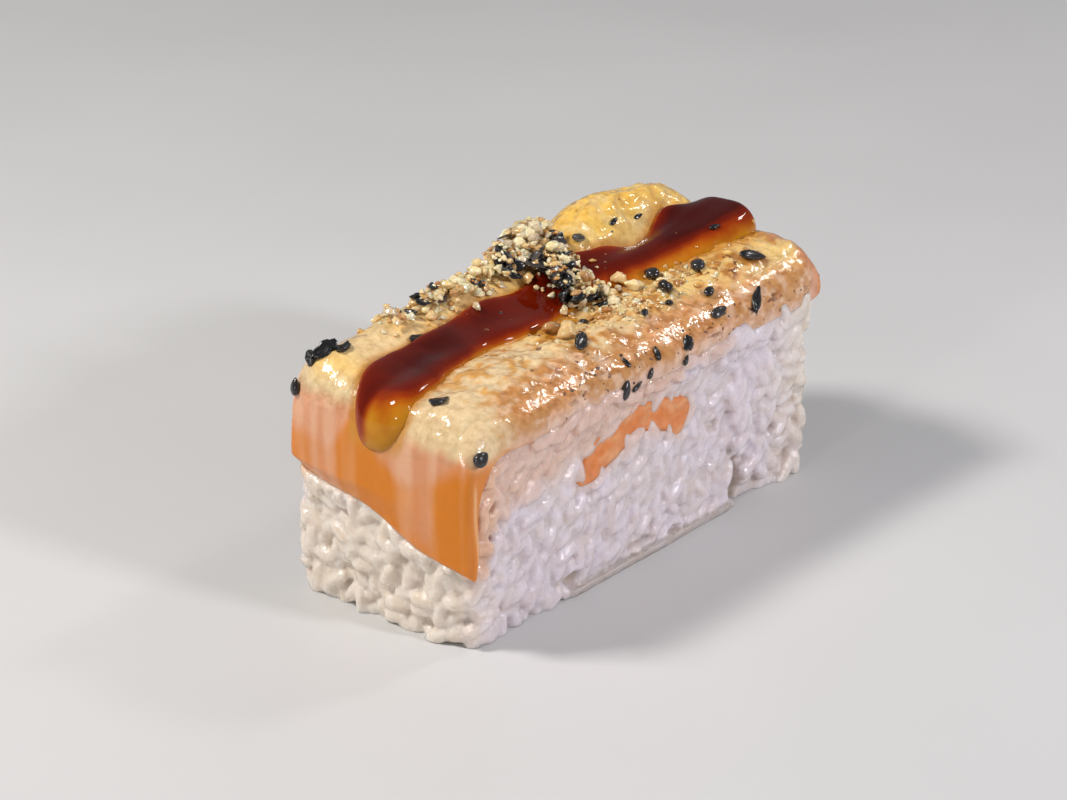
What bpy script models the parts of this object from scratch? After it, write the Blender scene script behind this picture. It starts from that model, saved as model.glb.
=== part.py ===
"""Salmon oshizushi: a pressed block of sushi rice, topped with a seared slab of salmon whose flap hangs
over one end, a coat of seared cream, a stripe of dark sauce and a heap of chopped nuts and seeds.

Run it with: blender --background --python part.py

+X runs along the block, from the end that the flap covers to the far end. -Y is the long side where the
salmon filling shows. +Z is up, and the origin is at the bottom centre. Lengths are in millimetres here,
and MM turns them into Blender's metres when a mesh is made.
"""

import math
import random

import bmesh
import bpy
import numpy as np
from mathutils import Matrix, Vector, noise

MM = 0.001
GAP = 0.32  # clear space between neighbouring pieces
FACETED_GAP = 0.65  # the same between two curved faces, whose facets stray a little from the curve

# The rice block
RICE_FLAP_END = -28.5
RICE_FAR_END = 28.2
RICE_HALF_WIDTH = 11.5
RICE_TOP = 19.8
RICE_CORNER = 2.2
GRAIN_LENGTH = 5.2
GRAIN_WIDTH = 2.8
GRAIN_PITCH = 3.75
GRAIN_SUNK = 0.35  # how far a grain's middle lies under the core's face
FOOT_THICKNESS = 1.0
FOOT_FROM, FOOT_TO = -13.8, 14.6
CRACK_X, CRACK_TOP, CRACK_WIDTH, CRACK_DEPTH = 15.6, 7.0, 0.9, 3.4

# The salmon sheet: a slab on the rice, bent down over the end as a thin flap
SLAB_UNDER = 20.1
SLAB_FAR = 29.4
SLAB_HALF_WIDTH = 12.4
SLAB_EDGE_SHARE = 0.28  # where its rim lies between its underside and its top
BEND_RADIUS = 5.0
BEND_X = -22.9  # the bend's centre lies under here, and the flap's inner face a radius further out
BEND_RUN = BEND_RADIUS * math.pi / 2
BEND_SQUARENESS = 4.0
FLAP_THICKNESS = 1.85
FLAP_TIP_THICKNESS = 0.95
FLAP_LEAN = 0.13  # how far the flap's inner face leans out for each millimetre of drop
FLAP_SIDES = (-12.65, 11.85)
FLAP_TIP_MIDDLE = 11.3  # height of the flap's slanted lower edge at the middle of the block
FLAP_TIP_SLOPE = 0.25

# Height of the dressed top along the block, as (x, z): the front crest, the groove and the back crest
FRONT_CREST = [
    (-29, 24.0), (-25, 24.8), (-20, 25.3), (-12, 25.4), (-4, 25.3),
    (5, 25.3), (15, 26.0), (22, 26.8), (29, 27.1),
]
GROOVE = [(-29, 23.5), (-22, 24.1), (-10, 24.5), (0, 24.9), (10, 25.4), (20, 26.0), (29, 26.5)]
BACK_CREST = [
    (-29, 24.8), (-24, 26.1), (-20, 26.8), (-14, 27.2), (-8, 27.7), (0, 28.3), (7, 29.0),
    (10, 29.9), (13, 31.0), (17, 31.3), (21, 30.8), (25.5, 30.0), (29, 28.7),
]
SECTION_Y = [-12.4, -9.5, -6.0, -2.6, 1.0, 3.0, 4.8, 8.8, 12.4]

# The seared cream on the slab
CREAM_SIDES = (-10.6, 11.2)
CREAM_FAR = 28.3
CREAM_RIDGE = 1.7
CREAM_FLOOR = 0.75
CREAM_HEM = 1.6  # width over which the cream thins out to nothing

# The sauce stripe along the block: where its middle line lies, its half width and its depth
SAUCE_FAR = 29.0
SAUCE_DRIP_RUN = 5.3
SAUCE_MIDDLE = [
    (-29, 0.3), (-26.5, -0.3), (-24, 0.7), (-20, 1.2), (-14, 2.0), (-8, 1.6),
    (0, 1.8), (6, 2.3), (10, 1.0), (15.5, 0.1), (23, -0.1), (29, -0.6),
]
SAUCE_HALF = [
    (-29, 2.4), (-26.5, 3.3), (-24, 4.1), (-20, 3.1), (-14, 2.9), (-8, 3.3),
    (0, 2.8), (6, 3.0), (10, 3.2), (15.5, 3.1), (23, 4.3), (29, 4.0),
]
SAUCE_DEPTH = [(-29, 0.6), (-24, 1.1), (-10, 1.0), (10, 1.0), (20, 1.4), (25, 2.3), (29, 2.5)]

# The salmon filling: its outline on the long side as (x, z), and how far it has moved at the back
FILLING_OUTLINE = [
    (-11.2, 12.3), (-9.6, 14.6), (-8.3, 15.8), (-5.8, 16.2), (-3.7, 17.3), (-0.8, 17.1),
    (2.6, 16.5), (5.8, 15.5), (6.9, 14.2), (5.4, 12.3), (3.6, 13.3), (1.0, 14.3),
    (-1.4, 14.8), (-4.4, 13.8), (-6.9, 12.9), (-9.4, 12.0),
]
FILLING_FRONT = -12.0
FILLING_BACK = 12.0
FILLING_BACK_SHIFT = (2.4, -0.7)

# The heap of chopped nuts and seeds: a mound across the sauce and one along the back crest, each as
# (middle x, middle y, half length, half width, height, lean)
CROSSING_MOUND = (3.6, 2.6, 5.2, 8.4, 1.1, 0.12)
RIDGE_MOUND = (-7.0, 8.2, 13.5, 2.7, 0.7, 0.0)
HEAP_GAP = 0.45  # clear space under both mounds, which have few facets

# Seeds fused to the cream, as (x, y, turn in degrees, length)
BLACK_SEEDS = [
    (-24.9, -5.7, -5, 2.2), (-24.2, 9.0, 15, 3.6), (-6.9, -7.8, 30, 2.4), (1.0, -8.6, 40, 1.9),
    (6.2, -8.4, 60, 2.0), (9.9, -5.9, 40, 2.9), (12.2, -3.9, 70, 2.4), (13.2, -9.0, 80, 2.0),
    (15.6, -6.2, 60, 2.4), (21.2, -8.6, -28, 3.6),
]
BLACK_SEED_WIDTH = 1.5

RICE_COLOUR = (0.86, 0.80, 0.74, 1)
SALMON_COLOUR = (0.72, 0.27, 0.08, 1)
CREAM_COLOUR = (0.86, 0.62, 0.28, 1)
SAUCE_COLOUR = (0.16, 0.02, 0.004, 1)
TOPPING_COLOUR = (0.45, 0.31, 0.16, 1)


def smooth_through(knots, x):
    """A smooth curve through knots, a list of (position, value), read at x, which may be an array."""
    xs, values = np.array(knots, float).T
    return smooth_section(xs, values[:, None] * np.ones(np.size(x)), np.ravel(x)).reshape(np.shape(x))


def smooth_section(ys, values, y):
    """The same for knots at ys whose values differ for each point: values has a row for each knot."""
    ys = np.array(ys, float)
    y = np.clip(y, ys[0], ys[-1])
    slopes = np.gradient(values, ys, axis=0)
    k = np.clip(np.searchsorted(ys, y, side="right") - 1, 0, len(ys) - 2)
    each = np.arange(len(y))
    step = ys[k + 1] - ys[k]
    t = (y - ys[k]) / step
    return (
        (2 * t**3 - 3 * t**2 + 1) * values[k, each]
        + (t**3 - 2 * t**2 + t) * step * slopes[k, each]
        + (3 * t**2 - 2 * t**3) * values[k + 1, each]
        + (t**3 - t**2) * step * slopes[k + 1, each]
    )


def ease(t):
    """Rises smoothly from 0 to 1 as t does."""
    t = np.clip(t, 0, 1)
    return t * t * (3 - 2 * t)


def round_off(t, power):
    """A rounded edge: 1 inside, falling to 0 as t reaches 1."""
    return (1 - np.clip(np.abs(t), 0, 1) ** power) ** (1 / power)


def lumps(x, y, size, seed):
    """Smooth relief from -1 to 1, with lumps about as wide as size."""
    spots = zip(np.ravel(x), np.ravel(y))
    made = [noise.noise(Vector((a / size, b / size, seed))) for a, b in spots]
    return np.array(made).reshape(np.shape(x))


def top_height(x, y):
    """Height of the dressed top over the block, before its shoulders are rounded."""
    flat_x, flat_y = np.ravel(x), np.ravel(y)
    front = smooth_through(FRONT_CREST, flat_x)
    groove = smooth_through(GROOVE, flat_x)
    back = smooth_through(BACK_CREST, flat_x)
    lip = 0.45 * groove + 0.55 * back
    rows = [front - 1.5, front - 0.4, front, front - 0.4, groove, groove + 0.5, lip, back, back - 0.6]
    return smooth_section(SECTION_Y, np.array(rows), flat_y).reshape(np.shape(x))


def flap_tip(y):
    """Height of the flap's slanted, slightly wavy lower edge."""
    return FLAP_TIP_MIDDLE + FLAP_TIP_SLOPE * y + 0.35 * np.sin(0.42 * y + 0.9)


def tip_run(y):
    """Run of the flap's lower edge."""
    return BEND_RUN + (SLAB_UNDER - BEND_RADIUS) - flap_tip(y)


def sides(run):
    """The sheet's two sides, narrowing from the slab to the flap."""
    turned = ease(run / BEND_RUN)
    wave = 0.18 * np.sin(0.31 * run) + 0.1 * np.sin(0.83 * run + 1.0)
    low = -SLAB_HALF_WIDTH * (1 - turned) + FLAP_SIDES[0] * turned + wave
    high = SLAB_HALF_WIDTH * (1 - turned) + FLAP_SIDES[1] * turned + wave
    return low, high


def full_thickness(run, y):
    """Distance between the sheet's two faces away from its edges: thick on the slab, thin on the flap."""
    slab = top_height(BEND_X - np.minimum(run, 0), y) - SLAB_UNDER
    angle = np.clip(run / BEND_RADIUS, 0, math.pi / 2)
    across = (np.sin(angle) / (BEND_RADIUS + FLAP_THICKNESS)) ** BEND_SQUARENESS
    up = (np.cos(angle) / (BEND_RADIUS + slab)) ** BEND_SQUARENESS
    rounded = (across + up) ** (-1 / BEND_SQUARENESS) - BEND_RADIUS
    down = ease((run - BEND_RUN) / (tip_run(y) - BEND_RUN))
    flap = FLAP_THICKNESS * (1 - down) + FLAP_TIP_THICKNESS * down
    return np.where(run < BEND_RUN, rounded, flap)


def edge_rounding(run, y, side_power, end_power):
    """1 over most of the sheet, falling to 0 at its rim."""
    low, high = sides(run)
    across = (2 * y - low - high) / (high - low)
    far = np.clip((BEND_X - run - (SLAB_FAR - 2.2)) / 2.2, 0, 1)
    tip = np.clip((run - (tip_run(y) - 1.0)) / 1.0, 0, 1)
    return round_off(across, side_power) * round_off(far, end_power) * round_off(tip, end_power)


def dressed_height(run, y):
    """Height of the dressed surface above the sheet's inner face, square to it."""
    edges = edge_rounding(run, y, 4.5, 2.4)
    flatness = 1 - ease(run / BEND_RUN)
    relief = 0.28 * lumps(BEND_X - run, y, 5.0, 3.1) * flatness * edges
    return full_thickness(run, y) * (SLAB_EDGE_SHARE + (1 - SLAB_EDGE_SHARE) * edges) + relief


def under_height(run, y):
    """Height of the sheet's underside, which turns up at the rim."""
    return full_thickness(run, y) * SLAB_EDGE_SHARE * (1 - edge_rounding(run, y, 14.0, 5.0))


def sheet_point(run, y, height):
    """Where a point of the sheet lies: run is how far round the bend it is, negative on the slab."""
    angle = np.clip(run / BEND_RADIUS, 0, math.pi / 2)
    out_x, out_z = -np.sin(angle), np.cos(angle)
    drop = np.maximum(run - BEND_RUN, 0)
    x = BEND_X - np.minimum(run, 0) + (BEND_RADIUS + height) * out_x - FLAP_LEAN * drop
    z = SLAB_UNDER - BEND_RADIUS + (BEND_RADIUS + height) * out_z - drop
    return np.stack([x, y, z], axis=-1)


def cream_end(y):
    """Run at which the cream stops on its way over the bend: lower at the front corner."""
    return 3.7 + 1.3 * ease((-y - 0.5) / 4.0) + 0.2 * np.sin(0.9 * y)


def inside_cream(run, y):
    """Distance inside the cream's outline, negative outside."""
    across = np.minimum(y - CREAM_SIDES[0], CREAM_SIDES[1] - y)
    along = np.minimum(cream_end(y) - run, run - (BEND_X - CREAM_FAR))
    return np.minimum(across, along)


def cream_depth(run, y):
    """Thickness of the cream: thick on the two crests, thin in the groove and towards its edges."""
    groove = np.exp(-(((y - 0.8) / 2.6) ** 2))
    full = CREAM_RIDGE * (1 - groove) + CREAM_FLOOR * groove
    hem = 1 - np.clip(inside_cream(run, y) / CREAM_HEM, 0, 1)
    return full * round_off(hem, 2.0)


def salmon_height(run, y):
    """Height of the salmon's own surface, set down under the cream by its depth and a gap."""
    clearance = FACETED_GAP * ease((inside_cream(run, y) + 1.5) / 0.8)
    covered = np.maximum(inside_cream(run, y) + 1.5, 0) > 0
    dressed = dressed_height(run, y)
    return np.where(covered, dressed - cream_depth(run, y) - clearance, dressed)


def sauce_ends(run):
    """1 along the sauce, falling to 0 at its far end and at the tip of its drip."""
    far = np.clip((BEND_X - run - (SAUCE_FAR - 2.4)) / 2.4, 0, 1)
    drip = np.clip((run - (SAUCE_DRIP_RUN - 2.6)) / 2.6, 0, 1)
    return round_off(far, 2.0) * round_off(drip, 2.0)


def sauce_rise(run, y):
    """Depth of the sauce over the cream, 0 outside the stripe."""
    x = BEND_X - run
    across = (y - smooth_through(SAUCE_MIDDLE, x)) / smooth_through(SAUCE_HALF, x)
    return smooth_through(SAUCE_DEPTH, x) * round_off(across, 2.0) * sauce_ends(run)


def object_from(bm, name, colour, roughness):
    """Makes an object of a bmesh in millimetres, with a material of its own."""
    bmesh.ops.recalc_face_normals(bm, faces=bm.faces)
    bmesh.ops.scale(bm, vec=(MM, MM, MM), verts=bm.verts)
    mesh = bpy.data.meshes.new(name)
    bm.to_mesh(mesh)
    bm.free()
    made = bpy.data.objects.new(name, mesh)
    bpy.context.scene.collection.objects.link(made)
    material = bpy.data.materials.new(name)
    material.use_nodes = True
    shader = material.node_tree.nodes["Principled BSDF"]
    shader.inputs["Base Color"].default_value = colour
    shader.inputs["Roughness"].default_value = roughness
    shader.inputs["Metallic"].default_value = 0.0
    mesh.materials.append(material)
    return made


def grid_solid(lower, upper):
    """A closed bmesh between two grids of points that share their border."""
    bm = bmesh.new()
    rows, columns = upper.shape[:2]
    tops = [[bm.verts.new(upper[i, j]) for j in range(columns)] for i in range(rows)]

    def under(i, j):
        border = i in (0, rows - 1) or j in (0, columns - 1)
        return tops[i][j] if border else bm.verts.new(lower[i, j])

    bottoms = [[under(i, j) for j in range(columns)] for i in range(rows)]
    for i in range(rows - 1):
        for j in range(columns - 1):
            # Each quad is cut towards the grid's middle, so that no triangle lies wholly on the border
            turned = (2 * i < rows - 1) != (2 * j < columns - 1)
            for side in (tops, bottoms):
                a, b, c, d = side[i][j], side[i + 1][j], side[i + 1][j + 1], side[i][j + 1]
                for triangle in ((a, b, d), (b, c, d)) if turned else ((a, b, c), (a, c, d)):
                    bm.faces.new(triangle if side is tops else reversed(triangle))
    return bm


def grow_by(bm, distance):
    """Moves every face of a closed shape out by about a distance, to make a cutter of it."""
    bmesh.ops.recalc_face_normals(bm, faces=bm.faces)
    bm.normal_update()
    moves = [v.normal * distance * min(v.calc_shell_factor(), 1.8) for v in bm.verts]
    for vertex, move in zip(bm.verts, moves):
        vertex.co += move
    return bm


def spread(count, low, high, crowding):
    """count values from low to high, closer together towards both ends as crowding goes from 0 to 1."""
    t = np.linspace(0, 1, count)
    crowded = (1 - np.cos(math.pi * t)) / 2
    return low + (high - low) * ((1 - crowding) * t + crowding * crowded)


def sheet_grid(runs, shares):
    """Run and y for each point of a grid on the sheet, whose last rows fit the flap's slanted edge."""
    slab_runs, flap_shares = runs
    rows_run, rows_y = [], []
    for run in slab_runs:
        low, high = sides(np.array(run))
        rows_y.append(low + (high - low) * shares)
        rows_run.append(np.full(len(shares), run))
    start = slab_runs[-1]
    for share in flap_shares:
        y = rows_y[len(slab_runs) - 1]
        for _ in range(3):
            run = start + (tip_run(y) - start) * share
            low, high = sides(run)
            y = low + (high - low) * shares
        rows_run.append(run)
        rows_y.append(y)
    return np.array(rows_run), np.array(rows_y)


def salmon_mesh():
    """The salmon slab and flap as one solid."""
    shares = spread(15, 0.0, 1.0, 0.75)
    far_run = BEND_X - SLAB_FAR
    far_rows = far_run + np.array([0, 0.25, 0.8, 1.7, 3.2, 6.0])
    slab_runs = np.concatenate([far_rows, np.linspace(far_run + 9.5, 0, 13), np.linspace(1.3, BEND_RUN, 6)])
    flap_shares = np.array([0.25, 0.55, 0.8, 0.92, 0.98, 1.0])
    run, y = sheet_grid((slab_runs, flap_shares), shares)
    lower = sheet_point(run, y, under_height(run, y))
    return grid_solid(lower, sheet_point(run, y, salmon_height(run, y)))


def cream_mesh():
    """The seared cream: a coat on the slab with two crests and the groove between them."""
    shares = spread(13, 0.0, 1.0, 0.35)
    y_row = CREAM_SIDES[0] + (CREAM_SIDES[1] - CREAM_SIDES[0]) * shares
    far_run = BEND_X - CREAM_FAR
    share_rows = np.concatenate([[0, 0.01, 0.03], np.linspace(0.075, 0.9, 14), [0.94, 0.97, 0.99, 1.0]])
    y = np.repeat(y_row[None, :], len(share_rows), axis=0)
    run = far_run + (cream_end(y) - far_run) * share_rows[:, None]
    top = dressed_height(run, y)
    return grid_solid(sheet_point(run, y, top - cream_depth(run, y)), sheet_point(run, y, top))


def sauce_mesh():
    """The sauce stripe: it fills the groove, swells at the far end and drips over the flap's bend."""
    shares = spread(8, -0.999, 0.999, 0.6)
    far_run = BEND_X - SAUCE_FAR
    middle_rows = np.linspace(0.13, 0.9, 12)
    share_rows = np.concatenate([[0, 0.012, 0.035, 0.07], middle_rows, [0.94, 0.97, 0.99, 1.0]])
    run = np.repeat((far_run + (SAUCE_DRIP_RUN - far_run) * share_rows)[:, None], len(shares), axis=1)
    x = BEND_X - run
    # The stripe narrows to a round at both ends
    narrow = np.maximum(sauce_ends(run), 0.25)
    y = smooth_through(SAUCE_MIDDLE, x) + smooth_through(SAUCE_HALF, x) * shares[None, :] * narrow
    floor = dressed_height(run, y) + FACETED_GAP
    return grid_solid(sheet_point(run, y, floor), sheet_point(run, y, floor + sauce_rise(run, y)))


def topped_height(x, y):
    """Height over the slab of the highest thing close to (x, y): the cream, or the sauce and its gap."""
    near = np.linspace(-1.3, 1.3, 5)
    x, y = np.meshgrid(x + near, y + near)
    run = BEND_X - x
    rise = sauce_rise(run, y)
    return np.max(SLAB_UNDER + dressed_height(run, y) + np.where(rise > 0, FACETED_GAP + rise, 0))


def mound_spot(mound, reach, angle):
    """A point of a mound's plan, from its middle at reach 0 to its rim at reach 1, and its height there."""
    middle_x, middle_y, half_length, half_width, height, lean = mound
    y = middle_y + half_width * reach * math.sin(angle)
    x = middle_x + lean * (y - middle_y) + half_length * reach * math.cos(angle)
    return x, y, height * (1 - reach**2) ** 0.6


def mound_mesh(mound, lift):
    """A low mound whose underside follows the cream and the sauce, a gap and a lift above them."""
    turns = [2 * math.pi * j / 18 for j in range(18)]
    reaches = (0.35, 0.65, 0.88)
    bm = bmesh.new()

    def point(reach, angle, raised):
        x, y, height = mound_spot(mound, reach, angle)
        return bm.verts.new((x, y, float(topped_height(x, y)) + HEAP_GAP + lift + raised * height))

    rim = [point(1.0, a, 0) for a in turns]
    for raised in (0, 1):
        middle = point(0, 0, raised)
        loops = [[point(reach, a, raised) for a in turns] for reach in reaches] + [rim]
        for j in range(len(turns)):
            n = (j + 1) % len(turns)
            bm.faces.new((middle, loops[0][j], loops[0][n]))
            for inner, outer in zip(loops, loops[1:]):
                bm.faces.new((inner[j], outer[j], outer[n]))
                bm.faces.new((inner[j], outer[n], inner[n]))
    return bm


def filling_mesh():
    """The salmon filling: the outline on the long side, carried through the rice to the back."""
    bm = bmesh.new()
    loops = []
    for share in np.linspace(0, 1, 6):
        y = FILLING_FRONT + (FILLING_BACK - FILLING_FRONT) * share
        shift = np.array(FILLING_BACK_SHIFT) * share + 0.5 * math.sin(math.pi * share)
        loops.append([bm.verts.new((x + shift[0], y, z + shift[1])) for x, z in FILLING_OUTLINE])
    bm.faces.new(loops[0])
    bm.faces.new(loops[-1])
    count = len(FILLING_OUTLINE)
    for near, far in zip(loops, loops[1:]):
        for j in range(count):
            n = (j + 1) % count
            bm.faces.new((near[j], near[n], far[n], far[j]))
    bmesh.ops.triangulate(bm, faces=[f for f in bm.faces if len(f.verts) > 4])
    return bm


def rounded_box(low, high, corner, segments):
    """A box with its upright edges rounded."""
    bm = bmesh.new()
    bmesh.ops.create_cube(bm, size=1.0)
    for v in bm.verts:
        v.co = Vector([l if c < 0 else h for c, l, h in zip(v.co, low, high)])
    upright = [e for e in bm.edges if abs(e.verts[0].co.z - e.verts[1].co.z) > 1e-6]
    bmesh.ops.bevel(bm, geom=upright, offset=corner, segments=segments, affect="EDGES", profile=0.5)
    return bm


def bean(length, width, thickness, segments, rings, point_power):
    """A grain or seed lying along X: pointed a little more as point_power falls below 1."""
    bm = bmesh.new()
    loops = []
    for i in range(1, rings):
        angle = math.pi * i / rings
        along = -math.cos(angle) * length / 2
        reach = math.sin(angle) ** point_power
        turns = [2 * math.pi * (j + 0.5 * (i % 2)) / segments for j in range(segments)]
        wide, thick = reach * width / 2, reach * thickness / 2
        ring = [(along, wide * math.cos(t), thick * math.sin(t)) for t in turns]
        loops.append([bm.verts.new(point) for point in ring])
    ends = [bm.verts.new((-length / 2, 0, 0)), bm.verts.new((length / 2, 0, 0))]
    for j in range(segments):
        n = (j + 1) % segments
        bm.faces.new((ends[0], loops[0][j], loops[0][n]))
        bm.faces.new((ends[1], loops[-1][j], loops[-1][n]))
    for i, (near, far) in enumerate(zip(loops, loops[1:])):
        for j in range(segments):
            n = (j + 1) % segments
            if i % 2 == 0:  # the near loop is the one turned by half a step
                bm.faces.new((near[j], far[n], near[n]))
                bm.faces.new((near[j], far[j], far[n]))
            else:
                bm.faces.new((near[j], far[j], near[n]))
                bm.faces.new((near[n], far[j], far[n]))
    return bm


def crumb(size, rng):
    """A chopped nut: a small block with its corners pushed about."""
    bm = bmesh.new()
    bmesh.ops.create_cube(bm, size=0.9)
    stretch = [size * rng.uniform(0.75, 1.25) for _ in range(3)]
    for v in bm.verts:
        v.co = Vector([c * s * rng.uniform(0.7, 1.15) for c, s in zip(v.co, stretch)])
    bmesh.ops.triangulate(bm, faces=bm.faces)
    return bm


def placed(bm, position, along, up):
    """Turns a bmesh so that its X lies along one direction and its Z points up another, and moves it."""
    up = Vector(up).normalized()
    along = Vector(along)
    along = (along - up * along.dot(up)).normalized()
    turned = Matrix((along, up.cross(along), up)).transposed().to_4x4()
    bmesh.ops.transform(bm, matrix=Matrix.Translation(Vector(position)) @ turned, verts=bm.verts)
    return bm


def rice_faces():
    """The four upright faces of the core, each as (start, direction, length, outward)."""
    x0, x1, y = RICE_FLAP_END, RICE_FAR_END, RICE_HALF_WIDTH
    return [
        (Vector((x0, -y, 0)), Vector((1, 0, 0)), x1 - x0, Vector((0, -1, 0))),
        (Vector((x1, -y, 0)), Vector((0, 1, 0)), 2 * y, Vector((1, 0, 0))),
        (Vector((x1, y, 0)), Vector((-1, 0, 0)), x1 - x0, Vector((0, 1, 0))),
        (Vector((x0, y, 0)), Vector((0, -1, 0)), 2 * y, Vector((-1, 0, 0))),
    ]


def rice_grains():
    """Grains all round the core, one to each cell of a jittered grid, lying roughly in its faces."""
    rng = random.Random(41)
    grains = []
    for start, along, length, outward in rice_faces():
        columns = round(length / GRAIN_PITCH)
        rows = round(RICE_TOP / GRAIN_PITCH)
        for column in range(columns):
            for row in range(rows):
                share = (column + 0.5 + rng.uniform(-0.32, 0.32) + 0.25 * (row % 2)) / (columns + 0.25)
                height = (row + 0.42 + rng.uniform(-0.22, 0.22)) / rows * RICE_TOP
                spot = start + along * (share * length) + Vector((0, 0, height))
                spot -= outward * (GRAIN_SUNK + rng.uniform(-0.3, 0.45))
                lean = rng.uniform(0, math.pi)
                flat = along * math.cos(lean) + Vector((0, 0, math.sin(lean)))
                direction = flat + outward * rng.uniform(-0.3, 0.3)
                size = rng.uniform(0.88, 1.12)
                bm = bean(GRAIN_LENGTH * size, GRAIN_WIDTH * size, GRAIN_WIDTH * 0.9 * size, 5, 3, 0.5)
                grains.append(placed(bm, spot, direction, outward))
    return grains


def fuse(core, shapes):
    """Joins closed shapes to the core by one Boolean union, and leaves no helper behind."""
    helpers = bpy.data.collections.new(core.name + "_pieces")
    bpy.context.scene.collection.children.link(helpers)
    for k, bm in enumerate(shapes):
        piece = object_from(bm, f"{core.name}_piece_{k}", RICE_COLOUR, 0.5)
        bpy.context.scene.collection.objects.unlink(piece)
        helpers.objects.link(piece)
    join = core.modifiers.new("fuse", "BOOLEAN")
    join.operation = "UNION"
    join.operand_type = "COLLECTION"
    join.collection = helpers
    join.solver = "EXACT"
    apply_modifiers(core)
    for piece in list(helpers.objects):
        bpy.data.objects.remove(piece)
    bpy.data.collections.remove(helpers)


def cut(body, bm):
    """Takes a closed shape away from the body, and leaves no helper behind."""
    cutter = object_from(bm, body.name + "_cutter", RICE_COLOUR, 0.5)
    carve = body.modifiers.new("cut", "BOOLEAN")
    carve.operation = "DIFFERENCE"
    carve.object = cutter
    carve.solver = "EXACT"
    apply_modifiers(body)
    bpy.data.objects.remove(cutter)


def apply_modifiers(made):
    """Replaces the object's mesh by the one that its modifiers make, all in its first material."""
    bpy.context.view_layer.update()
    graph = bpy.context.evaluated_depsgraph_get()
    material = made.data.materials[0]
    mesh = bpy.data.meshes.new_from_object(made.evaluated_get(graph))
    made.modifiers.clear()
    made.data = mesh
    mesh.materials.clear()
    mesh.materials.append(material)


def keep_largest(made):
    """Drops loose scraps and fills sealed hollows, by keeping only the surface with the most volume."""
    bm = bmesh.new()
    bm.from_mesh(made.data)
    bmesh.ops.triangulate(bm, faces=bm.faces)
    bmesh.ops.remove_doubles(bm, verts=bm.verts, dist=1e-7)
    left, shells = set(bm.faces), []
    while left:
        shell, edge_on = set(), [left.pop()]
        while edge_on:
            face = edge_on.pop()
            shell.add(face)
            near = {f for e in face.edges for f in e.link_faces} & left
            left -= near
            edge_on.extend(near)
        shells.append(shell)

    def volume(shell):
        corners = ([v.co for v in face.verts] for face in shell)
        return sum(a.dot(b.cross(c)) for a, b, c in corners) / 6

    shells.sort(key=volume)
    spare = {face for shell in shells[:-1] for face in shell}
    bmesh.ops.delete(bm, geom=list(spare), context="FACES")
    bm.to_mesh(made.data)
    bm.free()


def in_front_of_flap():
    """The space out from the flap, over its slanted lower edge."""
    bm = rounded_box((-60, FLAP_SIDES[0] - GAP, 0), (-28.85, FLAP_SIDES[1] + GAP, 60), 0.1, 1)
    for v in bm.verts:
        if v.co.z < 1:
            v.co.z = float(flap_tip(v.co.y)) + 0.3
    return bm


def make_rice():
    """The rice block: a core with a thin pressed foot along the long side, fused grains and a crack."""
    low = (RICE_FLAP_END, -RICE_HALF_WIDTH, 0)
    high = (RICE_FAR_END, RICE_HALF_WIDTH, RICE_TOP)
    rice = object_from(rounded_box(low, high, RICE_CORNER, 3), "rice_block", RICE_COLOUR, 0.35)
    foot_low = (FOOT_FROM, -RICE_HALF_WIDTH - 1.1, 0)
    foot_high = (FOOT_TO, -RICE_HALF_WIDTH + 3, FOOT_THICKNESS)
    fuse(rice, rice_grains() + [rounded_box(foot_low, foot_high, 0.9, 2)])
    crack_low = (CRACK_X - CRACK_WIDTH / 2, -30, -1)
    crack_high = (CRACK_X + CRACK_WIDTH / 2, -RICE_HALF_WIDTH + CRACK_DEPTH, CRACK_TOP)
    cut(rice, rounded_box((-60, -40, -20), (60, 40, 0), 2, 1))
    cut(rice, rounded_box((-60, -40, RICE_TOP), (60, 40, 60), 2, 1))
    cut(rice, rounded_box(crack_low, crack_high, 0.3, 1))
    cut(rice, in_front_of_flap())
    cut(rice, grow_by(salmon_mesh(), GAP))
    cut(rice, grow_by(filling_mesh(), GAP))
    keep_largest(rice)


def make_cream():
    """The cream with the larger black seeds fused on."""
    cream = object_from(cream_mesh(), "seared_cream", CREAM_COLOUR, 0.3)
    seeds = []
    for x, y, turn, length in BLACK_SEEDS:
        run = np.array([BEND_X - x])
        spot = sheet_point(run, np.array([y]), dressed_height(run, np.array([y])) + 0.2)[0]
        along = (math.cos(math.radians(turn)), math.sin(math.radians(turn)), 0)
        up = (min(0, (x - BEND_X) / 6), -0.1, 1)
        seeds.append(placed(bean(length, BLACK_SEED_WIDTH, 1.1, 5, 4, 0.8), spot, along, up))
    fuse(cream, seeds)
    keep_largest(cream)


def make_heap():
    """The heap with chopped nuts and seeds fused on."""
    heap = object_from(mound_mesh(CROSSING_MOUND, 0), "nut_and_seed_heap", TOPPING_COLOUR, 0.4)
    rng = random.Random(7)
    pieces = [mound_mesh(RIDGE_MOUND, 0.07)]
    for mound, count in ((CROSSING_MOUND, 19), (RIDGE_MOUND, 11)):
        for k in range(count):
            reach = math.sqrt((k + 0.5) / count) * 0.88
            x, y, height = mound_spot(mound, reach, k * math.radians(137.5))
            size = rng.uniform(1.6, 2.5)
            level = float(topped_height(x, y)) + HEAP_GAP + max(height, 0.42 * size) + 0.1
            turn = rng.uniform(0, math.pi)
            tilt = (rng.uniform(-0.2, 0.2), rng.uniform(-0.2, 0.2), 1)
            bm = bean(size * 1.5, size * 0.75, size * 0.6, 4, 4, 0.8) if k % 3 == 0 else crumb(size, rng)
            pieces.append(placed(bm, (x, y, level), (math.cos(turn), math.sin(turn), 0), tilt))
    fuse(heap, pieces)
    keep_largest(heap)


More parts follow.
